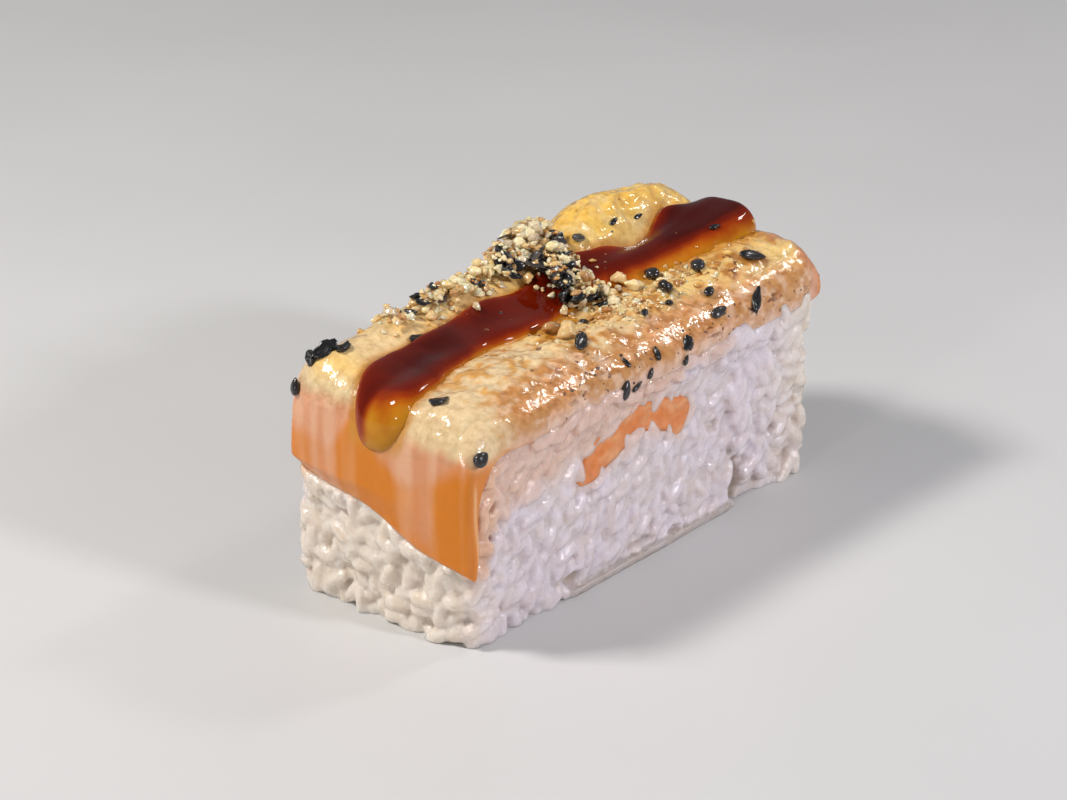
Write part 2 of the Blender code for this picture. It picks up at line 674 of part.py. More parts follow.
def main():
    for old in list(bpy.data.objects):
        bpy.data.objects.remove(old)
    object_from(salmon_mesh(), "salmon_slab", SALMON_COLOUR, 0.25)
    object_from(filling_mesh(), "salmon_filling", SALMON_COLOUR, 0.3)
    object_from(sauce_mesh(), "sauce_stripe", SAUCE_COLOUR, 0.08)
    make_rice()
    make_cream()
    make_heap()


main()
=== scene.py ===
"""The looks of the salmon oshizushi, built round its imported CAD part.

Lengths here are in millimetres, and MM turns them into Blender's metres. The first half repeats the shapes
of the part's source: the salmon is a sheet that lies on the rice and bends down over the end at -X, and run
is the distance along it, negative on the rice and positive from the bend on.
"""

import math
import random

import bmesh
import bpy
import numpy as np
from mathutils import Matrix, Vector, noise
from mathutils.bvhtree import BVHTree


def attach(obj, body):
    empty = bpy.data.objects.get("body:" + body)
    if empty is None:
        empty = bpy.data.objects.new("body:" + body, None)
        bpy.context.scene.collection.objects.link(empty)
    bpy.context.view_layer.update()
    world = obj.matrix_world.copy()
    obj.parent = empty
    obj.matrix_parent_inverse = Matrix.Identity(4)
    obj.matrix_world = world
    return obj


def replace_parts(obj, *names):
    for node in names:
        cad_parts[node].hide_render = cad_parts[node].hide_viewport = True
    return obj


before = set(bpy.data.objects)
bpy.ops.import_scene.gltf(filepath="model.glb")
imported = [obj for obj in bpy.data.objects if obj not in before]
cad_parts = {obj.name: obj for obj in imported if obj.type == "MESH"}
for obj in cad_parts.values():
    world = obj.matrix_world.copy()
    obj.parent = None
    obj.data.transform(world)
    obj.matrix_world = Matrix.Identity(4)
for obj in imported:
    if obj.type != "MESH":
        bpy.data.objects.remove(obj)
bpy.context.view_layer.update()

MM = 0.001

# Camera
CAMERA_AT = (-221.9, -183.0, 143.6)
CAMERA_LOOKS_AT = (-1.44, 3.03, 13.91)
CAMERA_LENS = 100
CAMERA_SENSOR = 36

# Light and floor
SKY_COLOUR = (0.95, 0.96, 1.0, 1)
SKY_STRENGTH = 0.26
LIGHTS_LOOK_AT = (0, 0, 14)
FLOOR_HALF = 2000

# The rice block, as in the part's source
RICE_FLAP_END = -28.5
RICE_FAR_END = 28.2
RICE_HALF_WIDTH = 11.5
RICE_CORNER = 2.2
FOOT_FROM, FOOT_TO = -13.8, 14.6
CRACK_X, CRACK_TOP, CRACK_WIDTH, CRACK_DEPTH = 15.6, 7.0, 0.9, 3.4
RICE_DIPS = [
    (-12.5, 1.7, 1.6, 0.9, 1.6), (-1.6, 1.6, 2.3, 0.55, 1.2),
    (4.4, 1.1, 1.3, 0.4, 0.9), (11.4, 10.6, 1.1, 0.8, 1.0),
]

# The grains, finer than the source's
RICE_TOP = 20.6
RICE_MOST_OUT = 12.75
HIDDEN_TOP_FROM = 19.9
GRAIN_SPACING = 1.6
GRAIN_ROWS = 14
GRAIN_HALF_SIZE = (1.75, 0.92, 0.86)
SEAM_GRAIN_HALF_SIZE = (1.9, 1.1, 1.05)
FUSING_STEP = 0.2
MOST_RICE_TRIANGLES = 190000
LOOSE_BIT_POINTS = 500

# The salmon sheet, as in the part's source
SLAB_UNDER = 20.1
SLAB_FAR = 29.4
SLAB_HALF_WIDTH = 12.4
SLAB_EDGE_SHARE = 0.28
SLAB_SIDE_POWER, SLAB_END_POWER = 4.5, 2.4
SLAB_END_ROUNDED = 2.2
BEND_RADIUS = 5.0
BEND_X = -22.9
BEND_RUN = BEND_RADIUS * math.pi / 2
BEND_SQUARENESS = 4.0
FLAP_THICKNESS = 1.85
FLAP_TIP_THICKNESS = 0.95
FLAP_LEAN = 0.13
FLAP_SIDES = (-12.65, 11.85)
FLAP_TIP_MIDDLE = 11.3
FLAP_TIP_SLOPE = 0.25

# The dressed top and its coats, as in the part's source
FRONT_CREST = [
    (-29, 24.0), (-25, 24.8), (-20, 25.3), (-12, 25.4), (-4, 25.3),
    (5, 25.3), (15, 26.0), (22, 26.8), (29, 27.1),
]
GROOVE = [(-29, 23.5), (-22, 24.1), (-10, 24.5), (0, 24.9), (10, 25.4), (20, 26.0), (29, 26.5)]
BACK_CREST = [
    (-29, 24.8), (-24, 26.1), (-20, 26.8), (-14, 27.2), (-8, 27.7), (0, 28.3), (7, 29.0),
    (10, 29.9), (13, 31.0), (17, 31.3), (21, 30.8), (25.5, 30.0), (29, 28.7),
]
SECTION_Y = [-12.4, -9.5, -6.0, -2.6, 1.0, 3.0, 4.8, 8.8, 12.4]
CREAM_SIDES = (-10.6, 11.2)
CREAM_FAR = 28.3
FOLD_SIZE = np.array([5.5, 2.4, 6.0])
SAUCE_FAR = 29.0
SAUCE_DRIP_RUN = 5.3
SAUCE_MIDDLE = [
    (-29, 0.3), (-26.5, -0.3), (-24, 0.7), (-20, 1.2), (-14, 2.0), (-8, 1.6),
    (0, 1.8), (6, 2.3), (10, 1.0), (15.5, 0.1), (23, -0.1), (29, -0.6),
]
SAUCE_HALF = [
    (-29, 2.4), (-26.5, 3.3), (-24, 4.1), (-20, 3.1), (-14, 2.9), (-8, 3.3),
    (0, 2.8), (6, 3.0), (10, 3.2), (15.5, 3.1), (23, 4.3), (29, 4.0),
]
SAUCE_DEPTH = [(-29, 1.1), (-24, 1.6), (-10, 1.5), (10, 1.5), (20, 2.0), (25, 2.9), (29, 3.1)]
FILLING_OUTLINE = [
    (-11.2, 12.3), (-9.6, 14.6), (-8.3, 15.8), (-5.8, 16.2), (-3.7, 17.3), (-0.8, 17.1),
    (2.6, 16.5), (5.8, 15.5), (6.9, 14.2), (5.4, 12.3), (3.6, 13.3), (1.0, 14.3),
    (-1.4, 14.8), (-4.4, 13.8), (-6.9, 12.9), (-9.4, 12.0),
]
FILLING_BACK_SHIFT = (2.4, -0.7)
FILLING_REACH = 11.45
FILLING_GROWN = 0.5
FILLING_CLEAR_OF_GRAINS = 0.1
FILLING_LONGEST_EDGE = 0.45
FLAP_PINK = [
    (-13, 0.0), (-8.2, 0.05), (-7.2, 0.75), (-6.3, 0.7), (-5.0, 0.35), (-3.2, 0.1), (4.6, 0.0),
    (6.2, 0.65), (7.6, 0.6), (9.5, 0.2), (12, 0.1),
]
FLAP_PINK_FROM = [
    (-13, 2.0), (-9, 1.6), (-6.5, -0.5), (-3.5, -0.8), (-1, 0.8), (3.4, 4.5), (6, 0.0), (9, 0.6), (12, 1.0),
]
FLAP_HEM = [
    (-13, 19.6), (-11, 20.8), (-9, 21.3), (-5, 21.2), (-2.5, 20.8), (0, 20.4), (2.5, 22.2), (5, 22.8),
    (12, 22.6),
]

# Columns across each sheet and rows along it
SALMON_COLUMNS, SALMON_SLAB_ROWS = 104, 165
CREAM_COLUMNS, CREAM_ROWS = 96, 210
SAUCE_COLUMNS, SAUCE_ROWS = 44, 220

# Colours, linear
RICE_WARM = (0.74, 0.66, 0.575)
# Painted cool fill light for the rice's long sides
RICE_PAINTED_COOL_LIGHT = (0.70, 0.625, 0.675)
# Painted shade for the hollows between rice grains
RICE_PAINTED_SHADE = (0.60, 0.52, 0.47)
SALMON_ORANGE = (0.64, 0.19, 0.006)
SALMON_TIP = (0.64, 0.185, 0.001)
SALMON_PALE = (0.74, 0.37, 0.16)
SALMON_PINK = (0.65, 0.285, 0.145)
CREAM_WHITE = (0.765, 0.58, 0.335)
CREAM_YELLOW = (0.84, 0.58, 0.20)
CREAM_RIDGE_YELLOW = (0.88, 0.53, 0.085)
CREAM_GOLD = (0.66, 0.31, 0.04)
SEARED_PINK = (0.57, 0.28, 0.10)
CHAR_BROWN = (0.20, 0.065, 0.015)
STAIN_AMBER = (0.55, 0.24, 0.03)
GOLDEN_PATCH = (0.62, 0.27, 0.012)
BURNT_BROWN = (0.40, 0.15, 0.025)
TORCHED_FLESH = (0.44, 0.17, 0.035)
PALE_FLESH_SPOT = (0.80, 0.58, 0.42)
FLESH_BY_RICE = (0.70, 0.50, 0.42)
RIM_ORANGE = (0.66, 0.24, 0.06)
FLAP_STREAK = (0.76, 0.45, 0.29)
PALE_CORNER_LINE = (0.82, 0.48, 0.24)
CUT_EDGE = (0.62, 0.22, 0.05)
FOOT_BROWN = (0.36, 0.31, 0.27)
RICE_BY_FILLING = (0.72, 0.43, 0.28)
RICE_BY_FLAP = (0.68, 0.36, 0.17)
RICE_IN_JUICE = (0.72, 0.46, 0.32)
RICE_UNDER_SLAB = (0.68, 0.46, 0.38)
FILLING_DEEP = (0.71, 0.19, 0.025)
FILLING_LIGHT = (0.74, 0.31, 0.11)
FILLING_RIM = (0.76, 0.46, 0.30)
SAUCE_TONES = [
    (0.0, (0.50, 0.21, 0.010)), (0.16, (0.42, 0.11, 0.003)), (0.34, (0.28, 0.032, 0.001)),
    (0.55, (0.14, 0.008, 0.0006)), (0.95, (0.05, 0.002, 0.0005)),
]
NUT_TONES = [
    (0.46, 0.24, 0.08), (0.74, 0.50, 0.22), (0.86, 0.66, 0.34), (0.92, 0.77, 0.44), (0.86, 0.74, 0.50),
    (0.46, 0.38, 0.26),
]
CRUMB_TONES = [(0.40, 0.16, 0.03), (0.66, 0.38, 0.12), (0.84, 0.62, 0.32), (0.88, 0.78, 0.56)]
SEED_TONES = [(0.003, 0.003, 0.004), (0.008, 0.007, 0.008), (0.022, 0.019, 0.02)]
HUSK_TONES = [(0.012, 0.009, 0.009), (0.035, 0.028, 0.027), (0.11, 0.09, 0.085)]
SPECK_TONES = [(0.02, 0.01, 0.006), (0.10, 0.035, 0.01), (0.30, 0.12, 0.03)]

# Black seeds, each as (x, y, z, turn in degrees, length, width), close to where they lie
BLACK_SEEDS = [
    (21.2, -8.8, 26.6, -28, 3.7, 1.4), (11.6, -2.5, 26.2, 70, 2.3, 1.8), (15.4, -5.8, 26.2, 60, 2.3, 1.8),
    (-27.6, -12.2, 21.1, 20, 1.9, 1.7), (9.2, -6.0, 25.6, 30, 2.9, 2.0), (12.9, -9.3, 25.1, 20, 1.6, 1.2),
    (11.5, -11.4, 23.7, 8, 2.3, 1.3), (-28.7, 11.1, 22.4, 80, 1.9, 1.3), (-8.7, 8.5, 27.8, 20, 2.4, 1.0),
    (-2.1, -4.5, 25.4, 10, 1.8, 0.8), (14.6, 5.2, 28.6, 20, 1.3, 0.7), (18.5, 4.9, 28.6, 10, 1.3, 0.6),
    (3.3, -8.0, 25.2, 30, 1.3, 0.9), (7.3, -8.1, 25.1, 60, 1.4, 0.9), (0.3, -12.1, 22.9, 80, 1.7, 0.8),
    (-4.3, -11.7, 23.3, 80, 1.4, 0.6), (-5.4, -12.4, 20.9, 70, 2.2, 1.2), (-3.4, -12.4, 20.6, 20, 1.8, 0.6),
    (-1.2, -12.3, 21.3, 60, 1.3, 0.7), (4.5, -12.3, 20.9, 40, 1.3, 0.7), (22.2, -2.9, 26.6, -20, 1.4, 0.7),
]

# Flakes, black bits and whole nuts, each as (x, y, z, turn in degrees, length, width, thickness)
DARK_FLAKES = [
    (-26.8, 9.9, 25.6, -20, 2.6, 1.6, 1.0), (-11.0, 7.6, 27.8, 40, 2.0, 1.2, 1.0),
    (9.1, 5.7, 28.2, 15, 2.2, 1.3, 1.0),
]
BLACK_CHUNKS = [
    (-26.3, -5.7, 24.8, -5, 2.3, 1.3, 1.1), (-24.9, 8.2, 26.1, 35, 2.6, 1.6, 1.3),
    (-26.3, 9.0, 25.9, -15, 2.8, 1.7, 1.5), (-27.2, 10.3, 25.0, 50, 2.4, 1.6, 1.4),
    (-25.0, 9.9, 25.8, 80, 1.9, 1.3, 1.1), (3.0, 1.6, 27.6, 30, 2.6, 1.6, 1.3),
    (1.4, 0.2, 27.2, 70, 2.4, 1.5, 1.2), (4.4, -0.9, 26.8, 0, 2.4, 1.5, 1.2),
    (2.2, 4.3, 28.2, 20, 2.8, 1.7, 1.4), (17.4, -12.0, 23.4, 60, 3.0, 1.2, 1.0),
    (-6.9, -8.0, 25.3, 30, 2.8, 1.5, 1.1), (5.0, -12.2, 22.5, 60, 1.9, 1.3, 0.9),
    (-17.6, 4.6, 25.9, -10, 2.6, 1.1, 0.8),
]
WHOLE_NUTS = [
    (-6.0, -5.6, 26.0, 0, 2.6, 2.4, 2.1), (-6.6, -3.6, 26.0, -25, 3.6, 1.9, 1.5),
    (0.8, 11.0, 28.4, 20, 2.3, 1.6, 1.3), (2.4, 6.9, 28.4, 0, 2.0, 1.9, 1.7),
    (3.2, 3.2, 27.2, 0, 1.6, 1.5, 1.4), (8.2, -0.6, 26.3, 0, 1.9, 1.7, 1.5),
    (8.4, -2.7, 26.0, -20, 2.9, 1.6, 1.4), (3.6, -3.6, 26.0, 0, 2.0, 1.7, 1.4),
]

# How the toppings pile up
PILE_CELL = 0.4
PILE_TOP = 30.2
FINE_SPECKS = 150


def smooth_through(knots, x):
    """A smooth curve through knots, a list of (position, value), read at x, which may be an array."""
    xs, values = np.array(knots, float).T
    return smooth_section(xs, values[:, None] * np.ones(np.size(x)), np.ravel(x)).reshape(np.shape(x))


def smooth_section(ys, values, y):
    """The same for knots at ys whose values differ for each point: values has a row for each knot."""
    ys = np.array(ys, float)
    y = np.clip(y, ys[0], ys[-1])
    slopes = np.gradient(values, ys, axis=0)
    k = np.clip(np.searchsorted(ys, y, side="right") - 1, 0, len(ys) - 2)
    each = np.arange(len(y))
    step = ys[k + 1] - ys[k]
    t = (y - ys[k]) / step
    return (
        (2 * t**3 - 3 * t**2 + 1) * values[k, each]
        + (t**3 - 2 * t**2 + t) * step * slopes[k, each]
        + (3 * t**2 - 2 * t**3) * values[k + 1, each]
        + (t**3 - t**2) * step * slopes[k + 1, each]
    )


def ease(t):
    """Rises smoothly from 0 to 1 as t does."""
    t = np.clip(t, 0, 1)
    return t * t * (3 - 2 * t)


def round_off(t, power):
    """A rounded edge: 1 inside, falling to 0 as t reaches 1."""
    return (1 - np.clip(np.abs(t), 0, 1) ** power) ** (1 / power)


def lumps(x, y, size, seed):
    """Smooth relief from -1 to 1, with lumps about as wide as size."""
    spots = zip(np.ravel(x), np.ravel(y))
    made = [noise.noise(Vector((a / size, b / size, seed))) for a, b in spots]
    return np.array(made).reshape(np.shape(x))


def clouds(points, size, seed, octaves=3):
    """Noise in space from about -1 to 1. size may differ along X, Y and Z."""
    scaled = np.reshape(points, (-1, 3)) / size + seed * 13.7
    made = [noise.fractal(p, 1.0, 2.0, octaves) for p in scaled.tolist()]
    return np.array(made).reshape(np.shape(points)[:-1])


def top_height(x, y):
    """Height of the dressed top over the block, before its shoulders are rounded."""
    flat_x, flat_y = np.ravel(x), np.ravel(y)
    front = smooth_through(FRONT_CREST, flat_x)
    groove = smooth_through(GROOVE, flat_x)
    back = smooth_through(BACK_CREST, flat_x)
    lip = 0.45 * groove + 0.55 * back
    rows = [front - 1.5, front - 0.4, front, front - 0.4, groove, groove + 0.5, lip, back, back - 0.6]
    return smooth_section(SECTION_Y, np.array(rows), flat_y).reshape(np.shape(x))


def flap_tip(y):
    """Height of the flap's slanted, slightly wavy lower edge."""
    return FLAP_TIP_MIDDLE + FLAP_TIP_SLOPE * y + 0.35 * np.sin(0.42 * y + 0.9)


def tip_run(y):
    """Run of the flap's lower edge."""
    return BEND_RUN + (SLAB_UNDER - BEND_RADIUS) - flap_tip(y)


def sides(run):
    """The sheet's two sides, narrowing from the slab to the flap."""
    turned = ease(run / BEND_RUN)
    wave = 0.18 * np.sin(0.31 * run) + 0.1 * np.sin(0.83 * run + 1.0)
    low = -SLAB_HALF_WIDTH * (1 - turned) + FLAP_SIDES[0] * turned + wave
    high = SLAB_HALF_WIDTH * (1 - turned) + FLAP_SIDES[1] * turned + wave
    return low, high


def full_thickness(run, y):
    """Distance between the sheet's two faces away from its edges: thick on the slab, thin on the flap."""
    slab = top_height(BEND_X - np.minimum(run, 0), y) - SLAB_UNDER
    angle = np.clip(run / BEND_RADIUS, 0, math.pi / 2)
    across = (np.sin(angle) / (BEND_RADIUS + FLAP_THICKNESS)) ** BEND_SQUARENESS
    up = (np.cos(angle) / (BEND_RADIUS + slab)) ** BEND_SQUARENESS
    rounded = (across + up) ** (-1 / BEND_SQUARENESS) - BEND_RADIUS
    down = ease((run - BEND_RUN) / (tip_run(y) - BEND_RUN))
    flap = FLAP_THICKNESS * (1 - down) + FLAP_TIP_THICKNESS * down
    return np.where(run < BEND_RUN, rounded, flap)


def edge_rounding(run, y, side_power, end_power):
    """1 over most of the sheet, falling to 0 at its rim."""
    low, high = sides(run)
    across = (2 * y - low - high) / (high - low)
    far = np.clip((BEND_X - run - (SLAB_FAR - SLAB_END_ROUNDED)) / SLAB_END_ROUNDED, 0, 1)
    tip = np.clip((run - (tip_run(y) - 1.0)) / 1.0, 0, 1)
    return round_off(across, side_power) * round_off(far, end_power) * round_off(tip, end_power)


def dressed_height(run, y):
    """Height of the dressed surface above the sheet's inner face, square to it."""
    edges = edge_rounding(run, y, SLAB_SIDE_POWER, SLAB_END_POWER)
    flatness = 1 - ease(run / BEND_RUN)
    relief = 0.28 * lumps(BEND_X - run, y, 5.0, 3.1) * flatness * edges
    return full_thickness(run, y) * (SLAB_EDGE_SHARE + (1 - SLAB_EDGE_SHARE) * edges) + relief


def under_height(run, y):
    """Height of the sheet's underside, which turns up at the rim."""
    return full_thickness(run, y) * SLAB_EDGE_SHARE * (1 - edge_rounding(run, y, 14.0, 5.0))


def sheet_point(run, y, height):
    """Where a point of the sheet lies: run is how far round the bend it is, negative on the slab."""
    angle = np.clip(run / BEND_RADIUS, 0, math.pi / 2)
    out_x, out_z = -np.sin(angle), np.cos(angle)
    drop = np.maximum(run - BEND_RUN, 0)
    x = BEND_X - np.minimum(run, 0) + (BEND_RADIUS + height) * out_x - FLAP_LEAN * drop
    z = SLAB_UNDER - BEND_RADIUS + (BEND_RADIUS + height) * out_z - drop
    return np.stack([x, y, z], axis=-1)


def run_of(points):
    """Run of points on the dressed surface, the other way round from sheet_point."""
    x, z = points[:, 0], points[:, 2]
    centre_z = SLAB_UNDER - BEND_RADIUS
    angle = np.clip(np.arctan2(BEND_X - x, np.maximum(z - centre_z, 1e-6)), 0, math.pi / 2)
    run = np.where(x > BEND_X, BEND_X - x, BEND_RADIUS * angle)
    return np.where((x <= BEND_X) & (z < centre_z), BEND_RUN + centre_z - z, run)


def cream_end(y):
    """Run at which the cream stops on its way over the bend: lower at the front corner."""
    return 3.7 + 1.3 * ease((-y - 0.5) / 4.0) + 0.2 * np.sin(0.9 * y)


def inside_cream(run, y):
    """Distance inside the cream's outline, negative outside."""
    across = np.minimum(y - CREAM_SIDES[0], CREAM_SIDES[1] - y)
    along = np.minimum(cream_end(y) - run, run - (BEND_X - CREAM_FAR))
    return np.minimum(across, along)


def sauce_wobble(x, side):
    """How the sauce's sides wander."""
    return 0.2 * np.sin(0.6 * x + 0.8 * np.sign(side))


def sauce_across(run, y):
    """0 along the sauce's middle line and 1 at its wavy sides."""
    x = BEND_X - run
    aside = y - smooth_through(SAUCE_MIDDLE, x)
    return np.abs(aside) / (smooth_through(SAUCE_HALF, x) + sauce_wobble(x, aside))


def sauce_ends(run):
    """1 along the sauce, falling to 0 at its far end and at the tip of its drip."""
    far = np.clip((BEND_X - run - (SAUCE_FAR - 2.4)) / 2.4, 0, 1)
    drip = np.clip((run - (SAUCE_DRIP_RUN - 2.6)) / 2.6, 0, 1)
    return round_off(far, 3.0) * round_off(drip, 2.0)


def mix(a, b, share):
    """Between two colours, each one colour or one for each point."""
    return np.asarray(a) * (1 - share[..., None]) + np.asarray(b) * share[..., None]


def new_object(name, data):
    """Puts a mesh, light or camera into the scene."""
    made = bpy.data.objects.new(name, data)
    bpy.context.scene.collection.objects.link(made)
    return made


def mesh_object(name, points, faces):
    """An object of points in millimetres."""
    mesh = bpy.data.meshes.new(name)
    mesh.from_pydata((np.reshape(points, (-1, 3)) * MM).tolist(), [], faces)
    mesh.validate()
    mesh.polygons.foreach_set("use_smooth", [True] * len(mesh.polygons))
    return new_object(name, mesh)


def set_layer(made, name, values):
    """Stores a number or a colour for each point of an object."""
    values = np.asarray(values, np.float32)
    if values.ndim == 1:
        layer = made.data.attributes.new(name, "FLOAT", "POINT")
        layer.data.foreach_set("value", values)
        return
    opaque = np.ones((len(values), 1), np.float32)
    layer = made.data.attributes.new(name, "FLOAT_COLOR", "POINT")
    layer.data.foreach_set("color", np.concatenate([values, opaque], 1).ravel())


def vectors_of(rows, key):
    """One vector for each row of a mesh's data."""
    flat = np.empty(len(rows) * 3, np.float32)
    rows.foreach_get(key, flat)
    return flat.reshape(-1, 3).astype(float)


def points_of(made):
    """An object's points, in millimetres."""
    return vectors_of(made.data.vertices, "co") / MM


def normals_of(made):
    """The direction out of the surface at each of an object's points."""
    return vectors_of(made.data.vertex_normals, "vector")


def move_points(made, points):
    """Gives an object's points new places, in millimetres."""
    made.data.vertices.foreach_set("co", (np.asarray(points) * MM).astype(np.float32).ravel())
    made.data.update()


def keep_modified(made):
    """Keeps what an object's modifiers make of its mesh, without them."""
    graph = bpy.context.evaluated_depsgraph_get()
    mesh = bpy.data.meshes.new_from_object(made.evaluated_get(graph))
    made.modifiers.clear()
    made.data = mesh


def points_and_faces(bm):
    """What a finished bmesh holds, as a template. The bmesh is let go."""
    points = np.array([v.co for v in bm.verts])
    faces = [[v.index for v in f.verts] for f in bm.faces]
    bm.free()
    return points, faces


def sheet_object(name, lower, upper):
    """A closed object between two grids of points that share their border."""
    rows, columns = upper.shape[:2]
    count = rows * columns
    top = np.arange(count).reshape(rows, columns)
    under = top + count
    border = np.ones((rows, columns), bool)
    border[1:-1, 1:-1] = False
    under[border] = top[border]

    def quads(index, turned):
        a, b, c, d = index[:-1, :-1], index[1:, :-1], index[1:, 1:], index[:-1, 1:]
        order = (a, d, c, b) if turned else (a, b, c, d)
        return np.stack(order, -1).reshape(-1, 4).tolist()

    made = mesh_object(name, np.concatenate([upper, lower]), quads(top, False) + quads(under, True))
    tidy = bmesh.new()
    tidy.from_mesh(made.data)
    bmesh.ops.delete(tidy, geom=[v for v in tidy.verts if not v.link_faces], context="VERTS")
    bmesh.ops.recalc_face_normals(tidy, faces=tidy.faces)
    tidy.to_mesh(made.data)
    tidy.free()
    return made


def profile_shares(count, half_width, height, power):
    """Shares from 0 to 1 across the sheet, at equal steps along its rounded section."""
    t = np.sin(np.linspace(-math.pi / 2, math.pi / 2, 4001))
    section = np.stack([half_width * t, height * round_off(t, power)], 1)
    length = np.concatenate([[0], np.cumsum(np.linalg.norm(np.diff(section, axis=0), axis=1))])
    return (np.interp(np.linspace(0, length[-1], count), length, t) + 1) / 2


def scatter(name, template, places):
    """One object of many copies of a template, a pair (points, faces), each moved by its 3 x 4 matrix."""
    base, faces = template
    places = np.array(places)
    turned = np.einsum("nij,kj->nki", places[:, :, :3], base) + places[:, None, :, 3]
    every = (np.arange(len(places)) * len(base))[:, None, None] + np.array(faces)[None]
    return mesh_object(name, turned, every.reshape(-1, len(faces[0])).tolist())


def ball(segments, rings):
    """A unit ball of quads and triangles, as triangles."""
    bm = bmesh.new()
    bmesh.ops.create_uvsphere(bm, u_segments=segments, v_segments=rings, radius=1)
    bmesh.ops.triangulate(bm, faces=bm.faces)
    points, faces = points_and_faces(bm)
    return points[:, [2, 0, 1]], faces


def place(position, along, up, size):
    """The 3 x 4 matrix that lays X along one direction and Z up another, scaled by size along each axis."""
    up = Vector(up).normalized()
    along = Vector(along)
    along = (along - up * along.dot(up)).normalized()
    turned = np.array([along, up.cross(along), up]).T * np.asarray(size)
    return np.concatenate([turned, np.reshape(position, (3, 1))], axis=1)


def join_layers(parts, name):
    """Joins objects into the first one, under a new name."""
    for made in parts:
        made.select_set(True)
    bpy.context.view_layer.objects.active = parts[0]
    with bpy.context.temp_override(active_object=parts[0], selected_editable_objects=parts):
        bpy.ops.object.join()
    parts[0].name = name
    parts[0].select_set(False)
    return parts[0]


class Shading:
    """Builds one material's nodes."""

    def __init__(self, name, **constants):
        self.material = bpy.data.materials.new(name)
        self.material.use_nodes = True
        self.tree = self.material.node_tree
        self.shader = self.tree.nodes["Principled BSDF"]
        self.place = self.tree.nodes.new("ShaderNodeTexCoord").outputs["Object"]
        for socket, value in constants.items():
            self.shader.inputs[socket.replace("_", " ")].default_value = value

    def node(self, kind, inputs=(), **settings):
        made = self.tree.nodes.new("ShaderNode" + kind)
        for key, value in settings.items():
            setattr(made, key, value)
        for socket, value in dict(inputs).items():
            if isinstance(value, bpy.types.NodeSocket):
                self.tree.links.new(value, made.inputs[socket])
            else:
                made.inputs[socket].default_value = value
        return made

    def layer(self, name, output="Color"):
        return self.node("Attribute", attribute_name=name).outputs[output]

    def noise(self, size, detail=2.0, rough=0.5, stretch=(1, 1, 1)):
        """Noise whose features are about as wide as size, in millimetres."""
        mapped = self.node("Mapping", {"Vector": self.place, "Scale": stretch}).outputs[0]
        inputs = {"Vector": mapped, "Scale": 1 / (size * MM), "Detail": detail, "Roughness": rough}
        return self.node("TexNoise", inputs).outputs["Fac"]

    def ramp(self, value, stops):
        made = self.node("ValToRGB", {"Fac": value})
        while len(made.color_ramp.elements) < len(stops):
            made.color_ramp.elements.new(0.5)
        for element, (position, colour) in zip(made.color_ramp.elements, stops):
            element.position = position
            element.color = (*colour, 1) if isinstance(colour, tuple) else (colour, colour, colour, 1)
        return made.outputs["Color"]

    def blend(self, a, b, share, how="MIX"):
        inputs = {0: share, 6: a, 7: (*b, 1) if isinstance(b, tuple) else b}
        return self.node("Mix", inputs, data_type="RGBA", blend_type=how).outputs[2]

    def between(self, value, low, high):
        """Turns a value from 0 to 1 into one from low to high."""
        inputs = {"Value": value, "To Min": low, "To Max": high}
        return self.node("MapRange", inputs).outputs["Result"]

    def add(self, a, b):
        return self.node("Math", {0: a, 1: b}, operation="ADD").outputs[0]

    def times(self, a, b):
        return self.node("Math", {0: a, 1: b}, operation="MULTIPLY").outputs[0]

    def bump(self, height, distance, strength=1.0, after=None):
        inputs = {"Height": height, "Distance": distance * MM, "Strength": strength}
        if after is not None:
            inputs["Normal"] = after
        return self.node("Bump", inputs).outputs["Normal"]

    def glow(self, weight, radius, scale):
        """Lets light spread below the surface, scale in millimetres."""
        for socket, value in {"Weight": weight, "Radius": radius, "Scale": scale * MM}.items():
            self.shader.inputs["Subsurface " + socket].default_value = value

    def link(self, **sockets):
        for socket, value in sockets.items():
            self.tree.links.new(value, self.shader.inputs[socket.replace("_", " ")])
        return self.material


def wear(made, material):
    """Gives an object its material and attaches it to the root body."""
    made.data.materials.clear()
    made.data.materials.append(material)
    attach(made, "root")
    return made


